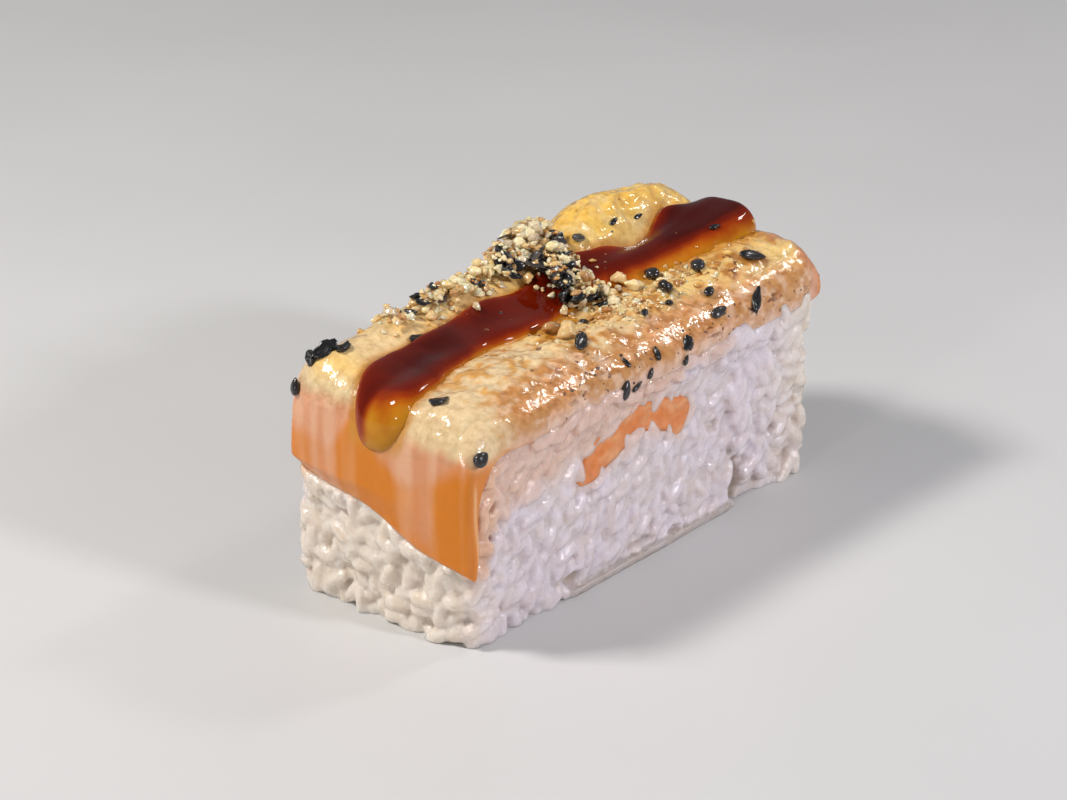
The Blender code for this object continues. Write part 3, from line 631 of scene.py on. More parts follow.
def dressed_colour(points):
    """Colour of the salmon and its seared coat at each point."""
    x, y, z = points.T
    wide = clouds(points, 7.0, 1)
    small = clouds(points, 2.2, 2)
    fine = clouds(points, 0.9, 3)
    # The cream on top: pale at the bend, more golden on the crests and far along the block
    golden = ease((x + 20) / 30 + 0.6 * wide + 0.15 + 0.05 * y)
    colour = mix(CREAM_WHITE, CREAM_YELLOW, golden * 0.85)
    colour = mix(colour, CREAM_WHITE, ease(0.15 + 1.5 * small) * 0.4)
    ridge = ease((x - 4) / 6) * ease((y - 3.0) / 3.0)
    colour = mix(colour, mix(CREAM_RIDGE_YELLOW, CREAM_YELLOW, ease(0.4 + 1.8 * small)), ridge * 0.85)
    torched = ease((small + 0.6 * fine + 0.08 - 0.12 * np.cos(0.5 * x)) / 0.5) * ease((-y - 1.0) / 2.5)
    colour = mix(colour, CREAM_GOLD, torched * 0.85 * ease((x + 27) / 6))
    patch = np.exp(-(((x + 5.5) / 5.5) ** 2) - ((y + 2.6) / 1.7) ** 2) * ease(0.45 + 1.4 * small)
    colour = mix(colour, GOLDEN_PATCH, np.clip(patch * 1.6, 0, 0.95))
    burnt = ease((small - 0.2 + 0.4 * fine) / 0.25) * ease((-y - 2.0) / 2.0) * ease((x + 14) / 8)
    colour = mix(colour, BURNT_BROWN, burnt * 0.65)
    # The salmon's own flesh: shoulders and long sides, paler and pinker towards the rice
    outer = ease((np.abs(y) - 7.0 + 1.2 * small + 1.5 * wide) / 2.4)
    shoulder = ease((26.4 - z + 0.6 * wide) / 2.2) * outer
    flesh = mix(SEARED_PINK, SALMON_PALE, ease(0.35 + 1.6 * small + 0.8 * wide))
    spots = clouds(points, 1.5, 22)
    scorched = ease((small + fine + 0.02) / 0.35) * ease((z - 21.6) / 1.5)
    flesh = mix(flesh, TORCHED_FLESH, scorched * 0.8)
    flesh = mix(flesh, PALE_FLESH_SPOT, ease((spots - 0.08) / 0.25) * 0.6)
    flesh = mix(flesh, FLESH_BY_RICE, ease((22.6 - z + 1.2 * small + 0.8 * wide) / 2.2) * 0.85)
    colour = mix(colour, flesh, shoulder * ease((x + 25) / 4))
    rim = ease((20.9 - z + 0.5 * small) / 0.7) * ease((np.abs(y) - 11.2) / 0.6)
    colour = mix(colour, RIM_ORANGE, rim * ease((-4 - x + 6 * wide) / 4) * 0.55)
    far_end = ease((x - 26.0 + 0.8 * small) / 2.6)
    end_colour = mix(SALMON_PINK, SALMON_ORANGE, ease((x - 28.0) / 1.6))
    colour = mix(colour, end_colour, far_end * ease((28.6 - z) / 2.0))
    # The flap over the near end: cream above its hem, then pink, with broad orange bands to the tip
    over = ease((-24.2 - x) / 3.0)
    bands = clouds(points, np.array([30.0, 4.2, 9.0]), 5)
    streaks = clouds(points, np.array([30.0, 1.7, 26.0]), 4, 2)
    across = y + 0.06 * (z - 15) + 0.5 * bands
    pink_bands = smooth_through(FLAP_PINK, across)
    pink_from = 16.2 + smooth_through(FLAP_PINK_FROM, across) + 1.0 * bands
    pink = np.maximum(ease((z - pink_from) / 2.8), pink_bands * ease((z - 8.5) / 4.0))
    near = mix(SALMON_ORANGE, SALMON_TIP, ease((15.0 - z) / 4.0))
    near = mix(near, SALMON_PALE, ease(0.1 + 1.4 * streaks) * 0.35)
    near = mix(near, SALMON_PINK, pink * 0.95)
    near = mix(near, FLAP_STREAK, pink * ease(0.2 + 1.6 * streaks) * 0.6)
    hem = smooth_through(FLAP_HEM, y) + 0.5 * bands + 0.35 * small
    near = mix(near, CREAM_WHITE, ease((z - hem + 0.6) / 1.5))
    near = mix(near, CREAM_YELLOW, ease((z - hem - 0.8) / 2.2) * ease(0.35 + 0.10 * y + 1.0 * wide))
    colour = mix(colour, near, over)
    # The pale line down the flap's front corner edge, and the darker cut edge beside it
    line = np.exp(-(((x + 28.5) / 0.24) ** 2)) * ease((-y - 11.8) / 0.5) * ease((19.5 - z) / 2.0)
    colour = mix(colour, PALE_CORNER_LINE, line * 0.8)
    cut_edge = ease((-y - 11.9) / 0.4) * ease((21.0 - z) / 2.0) * ease((-22.5 - x) / 2.0) * (1 - line)
    colour = mix(colour, CUT_EDGE, cut_edge * 0.55)
    return np.clip(colour, 0.001, 1)


def stain_by_sauce(colour, run, y):
    """Darkens the coat beside the sauce to amber, further out in front of it than behind."""
    across = sauce_across(run, y)
    x = BEND_X - run
    front = ease((smooth_through(SAUCE_MIDDLE, x) - y) / 1.0) * ease((x + 12) / 10)
    near = ease((1.32 + 0.45 * front - across) / (0.3 + 0.4 * front))
    return mix(colour, STAIN_AMBER, near * ease((SAUCE_DRIP_RUN + 0.5 - run) / 1.5) * 0.85)


def relief(points):
    """Unevenness of the salmon and its coat: coarser on the front shoulder, fine on the flap."""
    x, y, z = points[..., 0], points[..., 1], points[..., 2]
    shoulder = ease((-y - 3.0) / 3.0) * ease((x + 22) / 5)
    soft = (0.13 + 0.08 * shoulder) * clouds(points, 3.2, 6, 2)
    grain = (0.05 + 0.09 * shoulder) * clouds(points, 1.1, 7, 2)
    flap = ease((-25.5 - x) / 2.5) * ease((21.0 - z) / 2.0)
    return (soft + grain) * (1 - 0.7 * flap)


def flesh_material(name, wet, coat):
    """Salmon or its coat, of the colour, torch marks and roughness stored by paint."""
    shading = Shading(name, Roughness=0.3, Coat_Roughness=0.07, Specular_IOR_Level=0.27)
    shading.glow(0.12, (1.0, 0.5, 0.2), 0.8)
    tint = shading.layer("tint")
    darker_and_lighter = [(0.3, (0.80, 0.72, 0.62)), (0.65, (1.07, 1.06, 1.05))]
    mottled = shading.ramp(shading.noise(0.8, 4.0, 0.6), darker_and_lighter)
    bumpy = shading.layer("bumpy", "Fac")
    colour = shading.blend(tint, mottled, shading.between(bumpy, 0.15, 1.0), "MULTIPLY")
    strokes = shading.noise(1.2, 2.0, 0.5, (0.8, 1.0, 1.4))
    grit = shading.ramp(strokes, [(0.575, 0.0), (0.615, 1.0)])
    colour = shading.blend(colour, CHAR_BROWN, shading.times(shading.layer("char", "Fac"), grit))
    rough = shading.between(shading.noise(1.4, 3.0), 0.14, 0.32)
    strength = shading.between(bumpy, 0.2 * wet, wet)
    low = shading.bump(shading.noise(1.1, 2.0, 0.5), 0.13, strength)
    height = shading.bump(shading.noise(0.45, 2.0, 0.5), 0.05, strength, low)
    shading.link(Coat_Weight=shading.between(bumpy, 0.1, coat))
    return shading.link(Base_Color=colour, Roughness=rough, Normal=height, Coat_Normal=height)


def char_amount(points):
    """Where the torch left brown specks: in patches on the shoulders and the sides' upper band."""
    x, y, z = points.T
    patches = ease(-0.05 + 2.2 * clouds(points, 3.4, 8))
    front = ease((-y - 2.0) / 3.0) * ease((x + 20) / 12)
    back = ease((y - 5.0) / 2.0) * ease((x + 26) / 6) * 0.4
    return np.clip(patches * (front + back) * ease((z - 21.2) / 1.2), 0, 1)


def bumpy_amount(points):
    """How rough the skin is: 1 on the dressed top and its shoulders, 0 on the smooth flap."""
    return 1 - ease((-24.5 - points[:, 0]) / 2.5) * ease((22.5 - points[:, 2]) / 2.0)


def paint(made, colour, char, bumpy):
    """Stores what flesh_material reads at each point."""
    for name, values in {"tint": colour, "char": char, "bumpy": bumpy}.items():
        set_layer(made, name, values)


def make_salmon():
    """The salmon slab and its flap, with the seared long sides."""
    shares = profile_shares(SALMON_COLUMNS, SLAB_HALF_WIDTH, 4.2, SLAB_SIDE_POWER)
    far_run = BEND_X - SLAB_FAR
    far_rows = far_run + SLAB_END_ROUNDED * (1 - np.cos(np.linspace(0, math.pi / 2, 12)))
    slab_runs = np.concatenate([far_rows, np.linspace(far_run + 2.5, BEND_RUN, SALMON_SLAB_ROWS)])
    runs, ys = [], []
    for run in slab_runs:
        low, high = sides(np.array(run))
        ys.append(low + (high - low) * shares)
        runs.append(np.full(len(shares), run))
    for share in np.concatenate([np.linspace(0.04, 0.93, 26), [0.95, 0.97, 0.985, 0.995, 1.0]]):
        y = ys[len(slab_runs) - 1]
        for _ in range(3):
            run = BEND_RUN + (tip_run(y) - BEND_RUN) * share
            low, high = sides(run)
            y = low + (high - low) * shares
        runs.append(run)
        ys.append(y)
    run, y = np.array(runs), np.array(ys)
    top = dressed_height(run, y)
    bare = sheet_point(run, y, top)
    coated = 0.5 * ease(inside_cream(run, y) / 1.6)
    upper = sheet_point(run, y, top + relief(bare) * edge_rounding(run, y, 8.0, 4.0) - coated)
    made = sheet_object("salmon", sheet_point(run, y, under_height(run, y)), upper)
    points = points_of(made)
    colour = stain_by_sauce(dressed_colour(points), run_of(points), points[:, 1])
    paint(made, colour, char_amount(points), bumpy_amount(points))
    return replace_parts(wear(made, flesh_material("salmon", 0.8, 0.8)), "salmon_slab")


def make_cream():
    """The seared cream: two crests with wrinkles and lumps, and the groove that the sauce runs in."""
    even = np.linspace(0, 1, CREAM_COLUMNS)
    share = (1 - np.cos(math.pi * even)) * 0.1 + 0.8 * even
    y_row = CREAM_SIDES[0] + (CREAM_SIDES[1] - CREAM_SIDES[0]) * share
    far_run = BEND_X - CREAM_FAR
    y = np.repeat(y_row[None, :], CREAM_ROWS, axis=0)
    run = far_run + (cream_end(y) - far_run) * np.linspace(0, 1, CREAM_ROWS)[:, None]
    top = dressed_height(run, y)
    bare = sheet_point(run, y, top)
    inside = ease(inside_cream(run, y) / 2.2)
    x = bare[..., 0]
    folds = 1 - 2 * np.abs(clouds(bare, FOLD_SIZE, 9, 3))
    knobs = clouds(bare, 1.9, 10, 3)
    on_back = ease((y - 3.4) / 2.0)
    on_front = ease((-y - 0.6) / 1.6)
    wrinkles = 0.38 * (folds - 0.6) * on_back * ease((x + 2) / 10)
    pimples = 0.16 * clouds(bare, 0.8, 21, 2) * on_front * ease((x + 12) / 8)
    wrinkles += 0.30 * knobs * (on_front + 0.6 * on_back) + pimples
    upper = sheet_point(run, y, top + relief(bare) + wrinkles * inside - 0.07 + 0.1 * inside)
    made = sheet_object("seared_cream_coat", sheet_point(run, y, top - 0.5 * inside - 0.07), upper)
    points = points_of(made)
    colour = dressed_colour(points)
    # Painted shade: a darker golden tone in the creases of the back crest's folds
    crease_shade = ease(-2.0 * clouds(points, FOLD_SIZE, 9, 3) + 0.1) * ease((points[:, 1] - 3.4) / 2.0)
    colour = mix(colour, CREAM_GOLD, crease_shade * 0.35 * ease((points[:, 0] + 2) / 10))
    colour = stain_by_sauce(colour, run_of(points), points[:, 1])
    paint(made, colour, char_amount(points), bumpy_amount(points))
    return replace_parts(wear(made, flesh_material("seared_cream", 0.9, 0.9)), "seared_cream")


def make_sauce():
    """The sauce: thin and amber at its sides, deep red-brown in its middle, swelling at the far end."""
    shares = np.sin(np.linspace(-math.pi / 2, math.pi / 2, SAUCE_COLUMNS)) * 0.999
    far_run = BEND_X - SAUCE_FAR
    even = np.linspace(0, 1, SAUCE_ROWS)
    along = 0.35 * (1 - np.cos(math.pi * even)) / 2 + 0.65 * even
    run = np.repeat((far_run + (SAUCE_DRIP_RUN - far_run) * along)[:, None], len(shares), axis=1)
    x = BEND_X - run
    narrow = np.maximum(sauce_ends(run), 0.02) ** 0.8
    half = smooth_through(SAUCE_HALF, x) + sauce_wobble(x, shares[None, :])
    y = smooth_through(SAUCE_MIDDLE, x) + half * shares[None, :] * narrow
    floor = dressed_height(run, y)
    taper = 1 - 0.55 * ease((0.1 - shares[None, :]) / 0.9) * ease((x - 1) / 5) * ease((22 - x) / 5)
    section = round_off(shares[None, :], 2.6) ** 1.3 * taper
    depth = smooth_through(SAUCE_DEPTH, x) * section * sauce_ends(run)
    lower, upper = sheet_point(run, y, floor - 0.35), sheet_point(run, y, floor + depth - 0.1)
    made = sheet_object("sauce", lower, upper)
    thinned = 1 - 0.9 * ease((run - 1.3) / 2.4) * ease((1.5 - y) / 1.6)
    thinned = thinned * (1 - 0.6 * ease((-0.1 - shares[None, :]) / 0.7) * ease((x - 6) / 6))
    tops = np.concatenate([(depth * thinned).ravel(), np.zeros(depth.size)])
    set_layer(made, "depth", tops[used_points(depth.shape)])
    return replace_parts(wear(made, sauce_material()), "sauce_stripe")


def sauce_material():
    """Sauce that darkens from amber to black-brown with its stored depth."""
    shading = Shading("sauce", Roughness=0.06, Specular_IOR_Level=0.22)
    shading.glow(0.08, (1.0, 0.15, 0.02), 0.8)
    drift = shading.between(shading.noise(3.4, 3.0), -0.45, 0.45)
    clouded = shading.add(shading.layer("depth", "Fac"), drift)
    colour = shading.ramp(shading.times(clouded, 0.52), SAUCE_TONES)
    ripple = shading.bump(shading.noise(4.0, 1.0), 0.15, 0.2)
    return shading.link(Base_Color=colour, Normal=ripple)


def used_points(shape):
    """Which points of a sheet's two grids are kept: all of the upper one and the inside of the lower."""
    inside = np.zeros(shape, bool)
    inside[1:-1, 1:-1] = True
    return np.concatenate([np.ones(inside.size, bool), inside.ravel()])


def beside_filling(x, z):
    """Distance of a place on a long side from the filling's outline, negative inside."""
    corners = np.array(FILLING_OUTLINE)
    step = np.roll(corners, -1, axis=0) - corners
    away = np.array([x, z]) - corners
    share = np.clip((away * step).sum(axis=1) / (step**2).sum(axis=1), 0, 1)
    nearest = np.hypot(*(away - share[:, None] * step).T).min()
    spans = (away[:, 1] < 0) != (away[:, 1] < step[:, 1])
    crossed = spans & (away[:, 0] < step[:, 0] * away[:, 1] / step[:, 1])
    return -nearest if crossed.sum() % 2 else nearest


def filling_near(x, z):
    """1 beside the filling's outline, fading out over two millimetres."""
    if not (-13 < x < 10 and 10 < z < 19):
        return 0.0
    return float(ease(1 - abs(beside_filling(x, z)) / 1.9))


def left_open(x, z, behind):
    """Whether a place on a long side gets no grain: the filling, the crack and the gap below beyond it."""
    shift_x, shift_z = FILLING_BACK_SHIFT if behind else (0, 0)
    if beside_filling(x - shift_x, z - shift_z) < FILLING_CLEAR_OF_GRAINS:
        return True
    in_crack = abs(x - CRACK_X) < 1.0 and z < CRACK_TOP
    below = 16 < x < 20 and z < 1.5
    return not behind and (in_crack or below)


def perimeter(distance):
    """A point and the outward direction on the block's rounded outline, from the near front corner on."""
    r = RICE_CORNER
    low, high, half = RICE_FLAP_END + r, RICE_FAR_END - r, RICE_HALF_WIDTH - r
    corners = [((high, -half), -90), ((high, half), 0), ((low, half), 90), ((low, -half), 180)]
    straight = [high - low, 2 * half, high - low, 2 * half]
    turn = r * math.pi / 2
    for k, ((cx, cy), angle) in enumerate(corners):
        facing = math.radians(angle)
        if distance < straight[k]:
            back = straight[k] - distance
            return (
                cx + r * math.cos(facing) + back * math.sin(facing),
                cy + r * math.sin(facing) - back * math.cos(facing),
                facing,
            )
        distance -= straight[k]
        if distance < turn:
            facing += distance / r
            return cx + r * math.cos(facing), cy + r * math.sin(facing), facing
        distance -= turn
    return perimeter(distance)


def grain_template():
    """A cooked grain: plump, blunt at its ends and a little narrower at one of them."""
    points, faces = ball(11, 8)
    x, y, z = points.T
    fuller = round_off(x, 2.7) / np.maximum(round_off(x, 2.0), 1e-6)
    fuller = np.where(np.abs(x) > 0.999, 1, fuller) * (1 - 0.14 * x)
    return np.stack([x, y * fuller, z * fuller], 1), faces


def grain(spot, direction, outward, size, proud):
    """The matrix of a grain that stands out from its spot by a given distance."""
    made = place(spot, direction, outward, size)
    reach = np.linalg.norm(np.array(outward) @ made[:, :3])
    made[:, 3] += np.array(outward) * (proud - reach)
    return made


def rice_places():
    """The grains all round the block: distinct on the ends, pressed flatter on the long sides."""
    rng = random.Random(11)
    straight = 2 * (RICE_FAR_END - RICE_FLAP_END + 2 * RICE_HALF_WIDTH) - 8 * RICE_CORNER
    round_trip = straight + 2 * math.pi * RICE_CORNER
    columns = round(round_trip / GRAIN_SPACING)
    places = []
    for column in range(columns):
        for row in range(GRAIN_ROWS):
            step = column + 0.5 * (row % 2) + rng.uniform(-0.4, 0.4)
            x, y, facing = perimeter(step / columns * round_trip % round_trip)
            z = (row + 0.5 + rng.uniform(-0.4, 0.4)) / GRAIN_ROWS * RICE_TOP
            outward = Vector((math.cos(facing), math.sin(facing), 0))
            along = Vector((-math.sin(facing), math.cos(facing), 0))
            if abs(outward.y) > 0.8 and left_open(x, z, outward.y > 0):
                continue
            pressed = ease((abs(outward.y) - 0.75) / 0.2) * ease((15.5 - x) / 2.5) * ease((x + 26.5) / 5.0)
            pressed = float(pressed) * (0.5 if z < 4.0 else 1.0)
            lean = rng.uniform(0, math.pi) * (1 - 0.4 * pressed)
            tilt = rng.uniform(-1.1, 1.1) * (1 - 0.7 * pressed)
            direction = along * math.cos(lean) + Vector((0, 0, math.sin(lean))) + outward * tilt
            scale = rng.uniform(0.84, 1.12)
            size = [half * scale for half in GRAIN_HALF_SIZE]
            loose = rng.uniform(0.1, 1.2)
            flat = rng.uniform(-0.25, 0.4)
            proud = loose * (1 - pressed) + flat * pressed
            places.append(grain((x, y, z), direction, outward, size, proud))
    return places


def seam_grains(rng):
    """Grains pressed up over the salmon's lower rim along both long sides, some here and some there."""
    places = []
    for side in (-1, 1):
        x = -21.0
        while x < 26.5:
            x += rng.uniform(0.9, 2.1)
            if rng.random() < 0.25:
                continue
            z = 19.6 + rng.uniform(-0.3, 0.9)
            lean = rng.uniform(-0.7, 0.7)
            direction = Vector((math.cos(lean), 0, math.sin(lean)))
            scale = rng.uniform(0.75, 1.0)
            size = [half * scale for half in SEAM_GRAIN_HALF_SIZE]
            spot = (x, side * RICE_HALF_WIDTH, z)
            places.append(grain(spot, direction, Vector((0, side, 0)), size, rng.uniform(0.65, 0.95)))
    return places


def box_part(name, low, high, corner):
    """A box with rounded upright edges."""
    bm = bmesh.new()
    bmesh.ops.create_cube(bm, size=1.0)
    for v in bm.verts:
        v.co = Vector([l if c < 0 else h for c, l, h in zip(v.co, low, high)])
    upright = [e for e in bm.edges if abs(e.verts[0].co.z - e.verts[1].co.z) > 0.5]
    bmesh.ops.bevel(bm, geom=upright, offset=corner, segments=4, affect="EDGES", profile=0.5)
    return mesh_object(name, *points_and_faces(bm))


def make_rice():
    """The rice: plump grains fused softly to a core, flat below and moulded to the salmon above."""
    w, top = RICE_HALF_WIDTH, RICE_TOP
    core_low, core_high = (RICE_FLAP_END + 0.35, -w + 0.6, -1.5), (RICE_FAR_END - 0.35, w - 0.6, top)
    core = box_part("rice_core", core_low, core_high, 2.2)
    pressed = box_part("rice_pressed", (-23.0, -w + 0.4, 1.5), (14.4, w - 0.4, top), 1.5)
    foot = box_part("rice_foot", (FOOT_FROM, -w - 0.75, -0.6), (FOOT_TO, -w + 4.0, 0.62), 1.2)
    behind = box_part("rice_behind_flap", (RICE_FLAP_END + 0.3, -w + 1.0, 12.5), (-20.0, w - 1.0, top), 1.5)
    every = rice_places() + seam_grains(random.Random(31))
    grains = scatter("rice_grains", grain_template(), every)
    block = join_layers([core, pressed, foot, behind, grains], "rice")
    remesh = block.modifiers.new("fuse", "REMESH")
    remesh.mode = "VOXEL"
    remesh.voxel_size = FUSING_STEP * MM
    soften = block.modifiers.new("soften", "SMOOTH")
    soften.factor, soften.iterations = 0.4, 1
    keep_modified(block)
    shape_rice(block)
    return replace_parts(wear(block, rice_material()), "rice_block")


def thin_out(made, most):
    """Merges an object's smallest faces until it has at most a given number of triangles."""
    made.data.calc_loop_triangles()
    fewer = made.modifiers.new("fewer", "DECIMATE")
    fewer.ratio = min(1.0, most / len(made.data.loop_triangles))
    keep_modified(made)


def drop_loose_bits(bm):
    """Deletes the few tiny bits that the joining leaves beside the block."""
    left, loose = set(bm.verts), []
    while left:
        found = [left.pop()]
        for v in found:
            for edge in v.link_edges:
                other = edge.other_vert(v)
                if other in left:
                    left.remove(other)
                    found.append(other)
        if len(found) < LOOSE_BIT_POINTS:
            loose += found
    bmesh.ops.delete(bm, geom=loose, context="VERTS")


def shape_rice(block):
    """Adds fine unevenness, the crack and the pockets, and trims the grains under the salmon."""
    points, normals = points_of(block), normals_of(block)
    x, y, z = points.T
    on_side = ease((np.abs(normals[:, 1]) - 0.3) / 0.4) * ease((16 - x) / 3)
    uneven = 0.05 * clouds(points, 1.0, 12, 3)
    uneven += on_side * 0.12 * clouds(points, np.array([3.6, 3.6, 2.4]), 13, 2)
    points = points + normals * uneven[:, None]
    crack_x = CRACK_X + 0.25 * np.sin(1.1 * z) + 0.04 * z
    width = CRACK_WIDTH * 0.5 * ease((CRACK_TOP - z) / 3.0)
    inside = ease(1.6 - np.abs(x - crack_x) / np.maximum(width, 0.05)) * ease((CRACK_TOP - z) / 1.0)
    points[:, 1] += inside * ease((-y - 8) / 2.0) * CRACK_DEPTH * 0.6
    for dip_x, dip_z, wide, tall, depth in RICE_DIPS:
        away = np.hypot((x - dip_x) / wide, (z - dip_z) / tall)
        points[:, 1] += depth * ease(1.25 - away) * ease((-y - 9) / 1.5)
    # The top of the long sides swells out to meet the salmon's rim
    swell = ease((z - 15.5) / 4.0) * ease((x + 23) / 2.0) * ease((np.abs(y) - 10.0) / 1.2)
    points[:, 1] += np.sign(y) * swell * 0.55 * (1 + 0.8 * clouds(points, 2.5, 18, 2))
    points[:, 1] = np.clip(points[:, 1], -RICE_MOST_OUT, RICE_MOST_OUT)
    # The salmon's underside, its bend and its flap press the grains flat
    x, y, z = points.T
    run = np.minimum(BEND_X - x, 0)
    low, high = sides(run)
    ceiling = SLAB_UNDER + under_height(run, np.clip(y, low + 0.05, high - 0.05)) - 0.04
    ceiling = np.where((y > low + 0.9) & (y < high - 0.9), ceiling, 21.6)
    points[:, 2] = np.where(x > BEND_X, np.minimum(z, ceiling), z)
    centre_z = SLAB_UNDER - BEND_RADIUS
    reach = np.hypot(x - BEND_X, z - centre_z)
    shrink = np.minimum(1, (BEND_RADIUS - 0.06) / np.maximum(reach, 1e-6))
    bent = (x < BEND_X) & (z > centre_z)
    points[:, 0] = np.where(bent, BEND_X + (x - BEND_X) * shrink, points[:, 0])
    points[:, 2] = np.where(bent, centre_z + (z - centre_z) * shrink, points[:, 2])
    wall = BEND_X - BEND_RADIUS - FLAP_LEAN * (centre_z - z) + 0.1
    behind = ease((z - flap_tip(y) + 0.1) / 0.5) * (z <= centre_z)
    points[:, 0] = np.where(behind > 0, np.maximum(x, wall * behind + x * (1 - behind)), points[:, 0])
    points[:, 2] = np.maximum(points[:, 2], 0)
    move_points(block, points)
    # The hidden flat faces give way to a few large ones
    bm = bmesh.new()
    bm.from_mesh(block.data)
    drop_loose_bits(bm)

    def hidden(v):
        x, y, z = v.co / MM
        return z > HIDDEN_TOP_FROM and abs(y) < 10.5 and -22 < x < 20

    def flat(face):
        return all(v.co.z < 0.01 * MM for v in face.verts) or all(hidden(v) for v in face.verts)

    bmesh.ops.delete(bm, geom=[f for f in bm.faces if flat(f)], context="FACES")
    bmesh.ops.holes_fill(bm, edges=[e for e in bm.edges if e.is_boundary], sides=0)
    bmesh.ops.triangulate(bm, faces=[f for f in bm.faces if len(f.verts) > 4])
    for face in bm.faces:
        face.smooth = True
    bm.to_mesh(block.data)
    bm.free()
    thin_out(block, MOST_RICE_TRIANGLES)
    colour_rice(block)


def colour_rice(block):
    """Warm on the ends, a painted cool light on the long sides, and painted shade between grains."""
    points = points_of(block)
    x, y, z = points.T
    # Painted light: the long sides get a cool, slightly darker tint in place of the cool fill light falling
    # on them
    side = ease((np.abs(y) - 9.0) / 3.0) * ease((x + 30.5) / 5) * ease((29 - x) / 12)
    tone = clouds(points, 6.0, 14)
    colour = mix(RICE_WARM, RICE_PAINTED_COOL_LIGHT, np.clip(side * 0.95 + 0.25 * tone, 0, 1))
    # Painted shade: darker where the surface sinks in between the grains, away from the block's outline
    depth = np.minimum(np.minimum(x - RICE_FLAP_END, RICE_FAR_END - x), RICE_HALF_WIDTH - np.abs(y))
    grain_gap_shade = ease((depth - 0.1) / 1.2) * ease(z / 0.6)
    colour = mix(colour, RICE_PAINTED_SHADE, grain_gap_shade * 0.6)
    along_foot = ease((x - FOOT_FROM + 0.5) / 1.0) * ease((FOOT_TO + 0.5 - x) / 1.0)
    foot = ease((1.15 - z) / 0.4) * ease((-y - 11.0) / 0.6) * along_foot
    colour = mix(colour, FOOT_BROWN, foot * 0.7)
    near_filling = np.array([filling_near(a, c) if abs(b) > 10 else 0 for a, b, c in points.tolist()])
    colour = mix(colour, RICE_BY_FILLING, near_filling * 0.45)
    # The salmon's juice at the seam with the rice
    beside_flap = ease((-23.7 - x - 0.14 * (20.5 - z)) / 1.6) * ease((-y - 10.5) / 0.8)
    colour = mix(colour, RICE_BY_FLAP, beside_flap * ease((z - 6.5) / 3.0) * 0.75)
    wash = ease((z - 11.5 - 0.22 * (x + 20) - 1.5 * tone) / 4.0)
    wash *= ease((8 - x) / 5.0) * ease((np.abs(y) - 9.0) / 1.5)
    colour = mix(colour, RICE_IN_JUICE, wash * 0.7)
    under_slab = ease((z - 18.2 - 1.2 * tone) / 2.4) * ease((15 - x) / 4)
    colour = mix(colour, RICE_UNDER_SLAB, under_slab * 0.75)
    set_layer(block, "tint", colour)


def rice_material():
    """Moist rice that light sinks into, under a glossy film."""
    shading = Shading("rice", Roughness=0.25, Coat_Weight=0.85, Coat_Roughness=0.06, Specular_IOR_Level=0.5)
    shading.glow(0.8, (1.0, 0.9, 0.8), 1.3)
    clouded = shading.ramp(shading.noise(1.6, 3.0), [(0.3, (0.95, 0.90, 0.83)), (0.7, (1.05, 1.06, 1.08))])
    colour = shading.blend(shading.layer("tint"), clouded, 1.0, "MULTIPLY")
    rough = shading.between(shading.noise(0.9, 3.0), 0.12, 0.34)
    low = shading.bump(shading.noise(0.9, 3.0, 0.6), 0.18, 0.9)
    height = shading.bump(shading.noise(0.35, 3.0, 0.6), 0.09, 0.9, low)
    return shading.link(Base_Color=colour, Roughness=rough, Normal=height, Coat_Normal=height)


def rounded_outline(corners, steps):
    """A closed smooth curve through corners, with a number of points from each to the next."""
    curve = []
    for k in range(len(corners)):
        before, start, end, after = (corners[(k + i) % len(corners)] for i in (-1, 0, 1, 2))
        for t in np.linspace(0, 1, steps, endpoint=False):
            spot = 2 * start + (end - before) * t
            spot = spot + (2 * before - 5 * start + 4 * end - after) * t**2
            curve.append(0.5 * (spot + (3 * start - before - 3 * end + after) * t**3))
    return np.array(curve)


def make_filling():
    """The salmon filling: a soft band that shows at both long sides, its rim under the grains."""
    outline = rounded_outline(np.array(FILLING_OUTLINE), 8)
    way = np.roll(outline, -1, axis=0) - np.roll(outline, 1, axis=0)
    way /= np.linalg.norm(way, axis=1)[:, None]
    outline = outline + FILLING_GROWN * np.stack([-way[:, 1], way[:, 0]], axis=1)
    middle = outline.mean(axis=0)
    loops = []
    for share in np.concatenate([[0.0, 0.004, 0.012], np.linspace(0.03, 0.97, 20), [0.988, 0.996, 1.0]]):
        scale = 1.0 - 0.04 * (1 - ease(min(share, 1 - share) / 0.012))
        shift = np.array(FILLING_BACK_SHIFT) * share + 0.5 * math.sin(math.pi * share)
        ring = middle + (outline - middle) * scale + shift
        y = -FILLING_REACH + 2 * FILLING_REACH * share
        loops.append(np.stack([ring[:, 0], np.full(len(ring), y), ring[:, 1]], 1))
    count, faces = len(outline), []
    for k in range(len(loops) - 1):
        for j in range(count):
            here, beside = k * count + j, k * count + (j + 1) % count
            faces.append([here, beside, beside + count, here + count])
    made = mesh_object("filling", np.concatenate(loops), faces)
    close_ends(made)
    points = points_of(made)
    outer = ease((np.abs(points[:, 1]) - 11.0) / 0.4)
    points[:, 1] += np.sign(points[:, 1]) * outer * (0.16 * clouds(points, 2.0, 15, 3) - 0.02)
    move_points(made, points)
    streak = clouds(points, np.array([3.5, 3.5, 1.1]), 16)
    colour = mix(FILLING_DEEP, FILLING_LIGHT, ease(0.25 + 1.4 * streak))
    rim = np.array([filling_near(x, z) for x, _, z in points.tolist()])
    colour = mix(colour, FILLING_RIM, rim * 0.2)
    paint(made, colour, np.zeros(len(points)), np.full(len(points), 0.6))
    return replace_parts(wear(made, flesh_material("filling", 0.5, 0.4)), "salmon_filling")


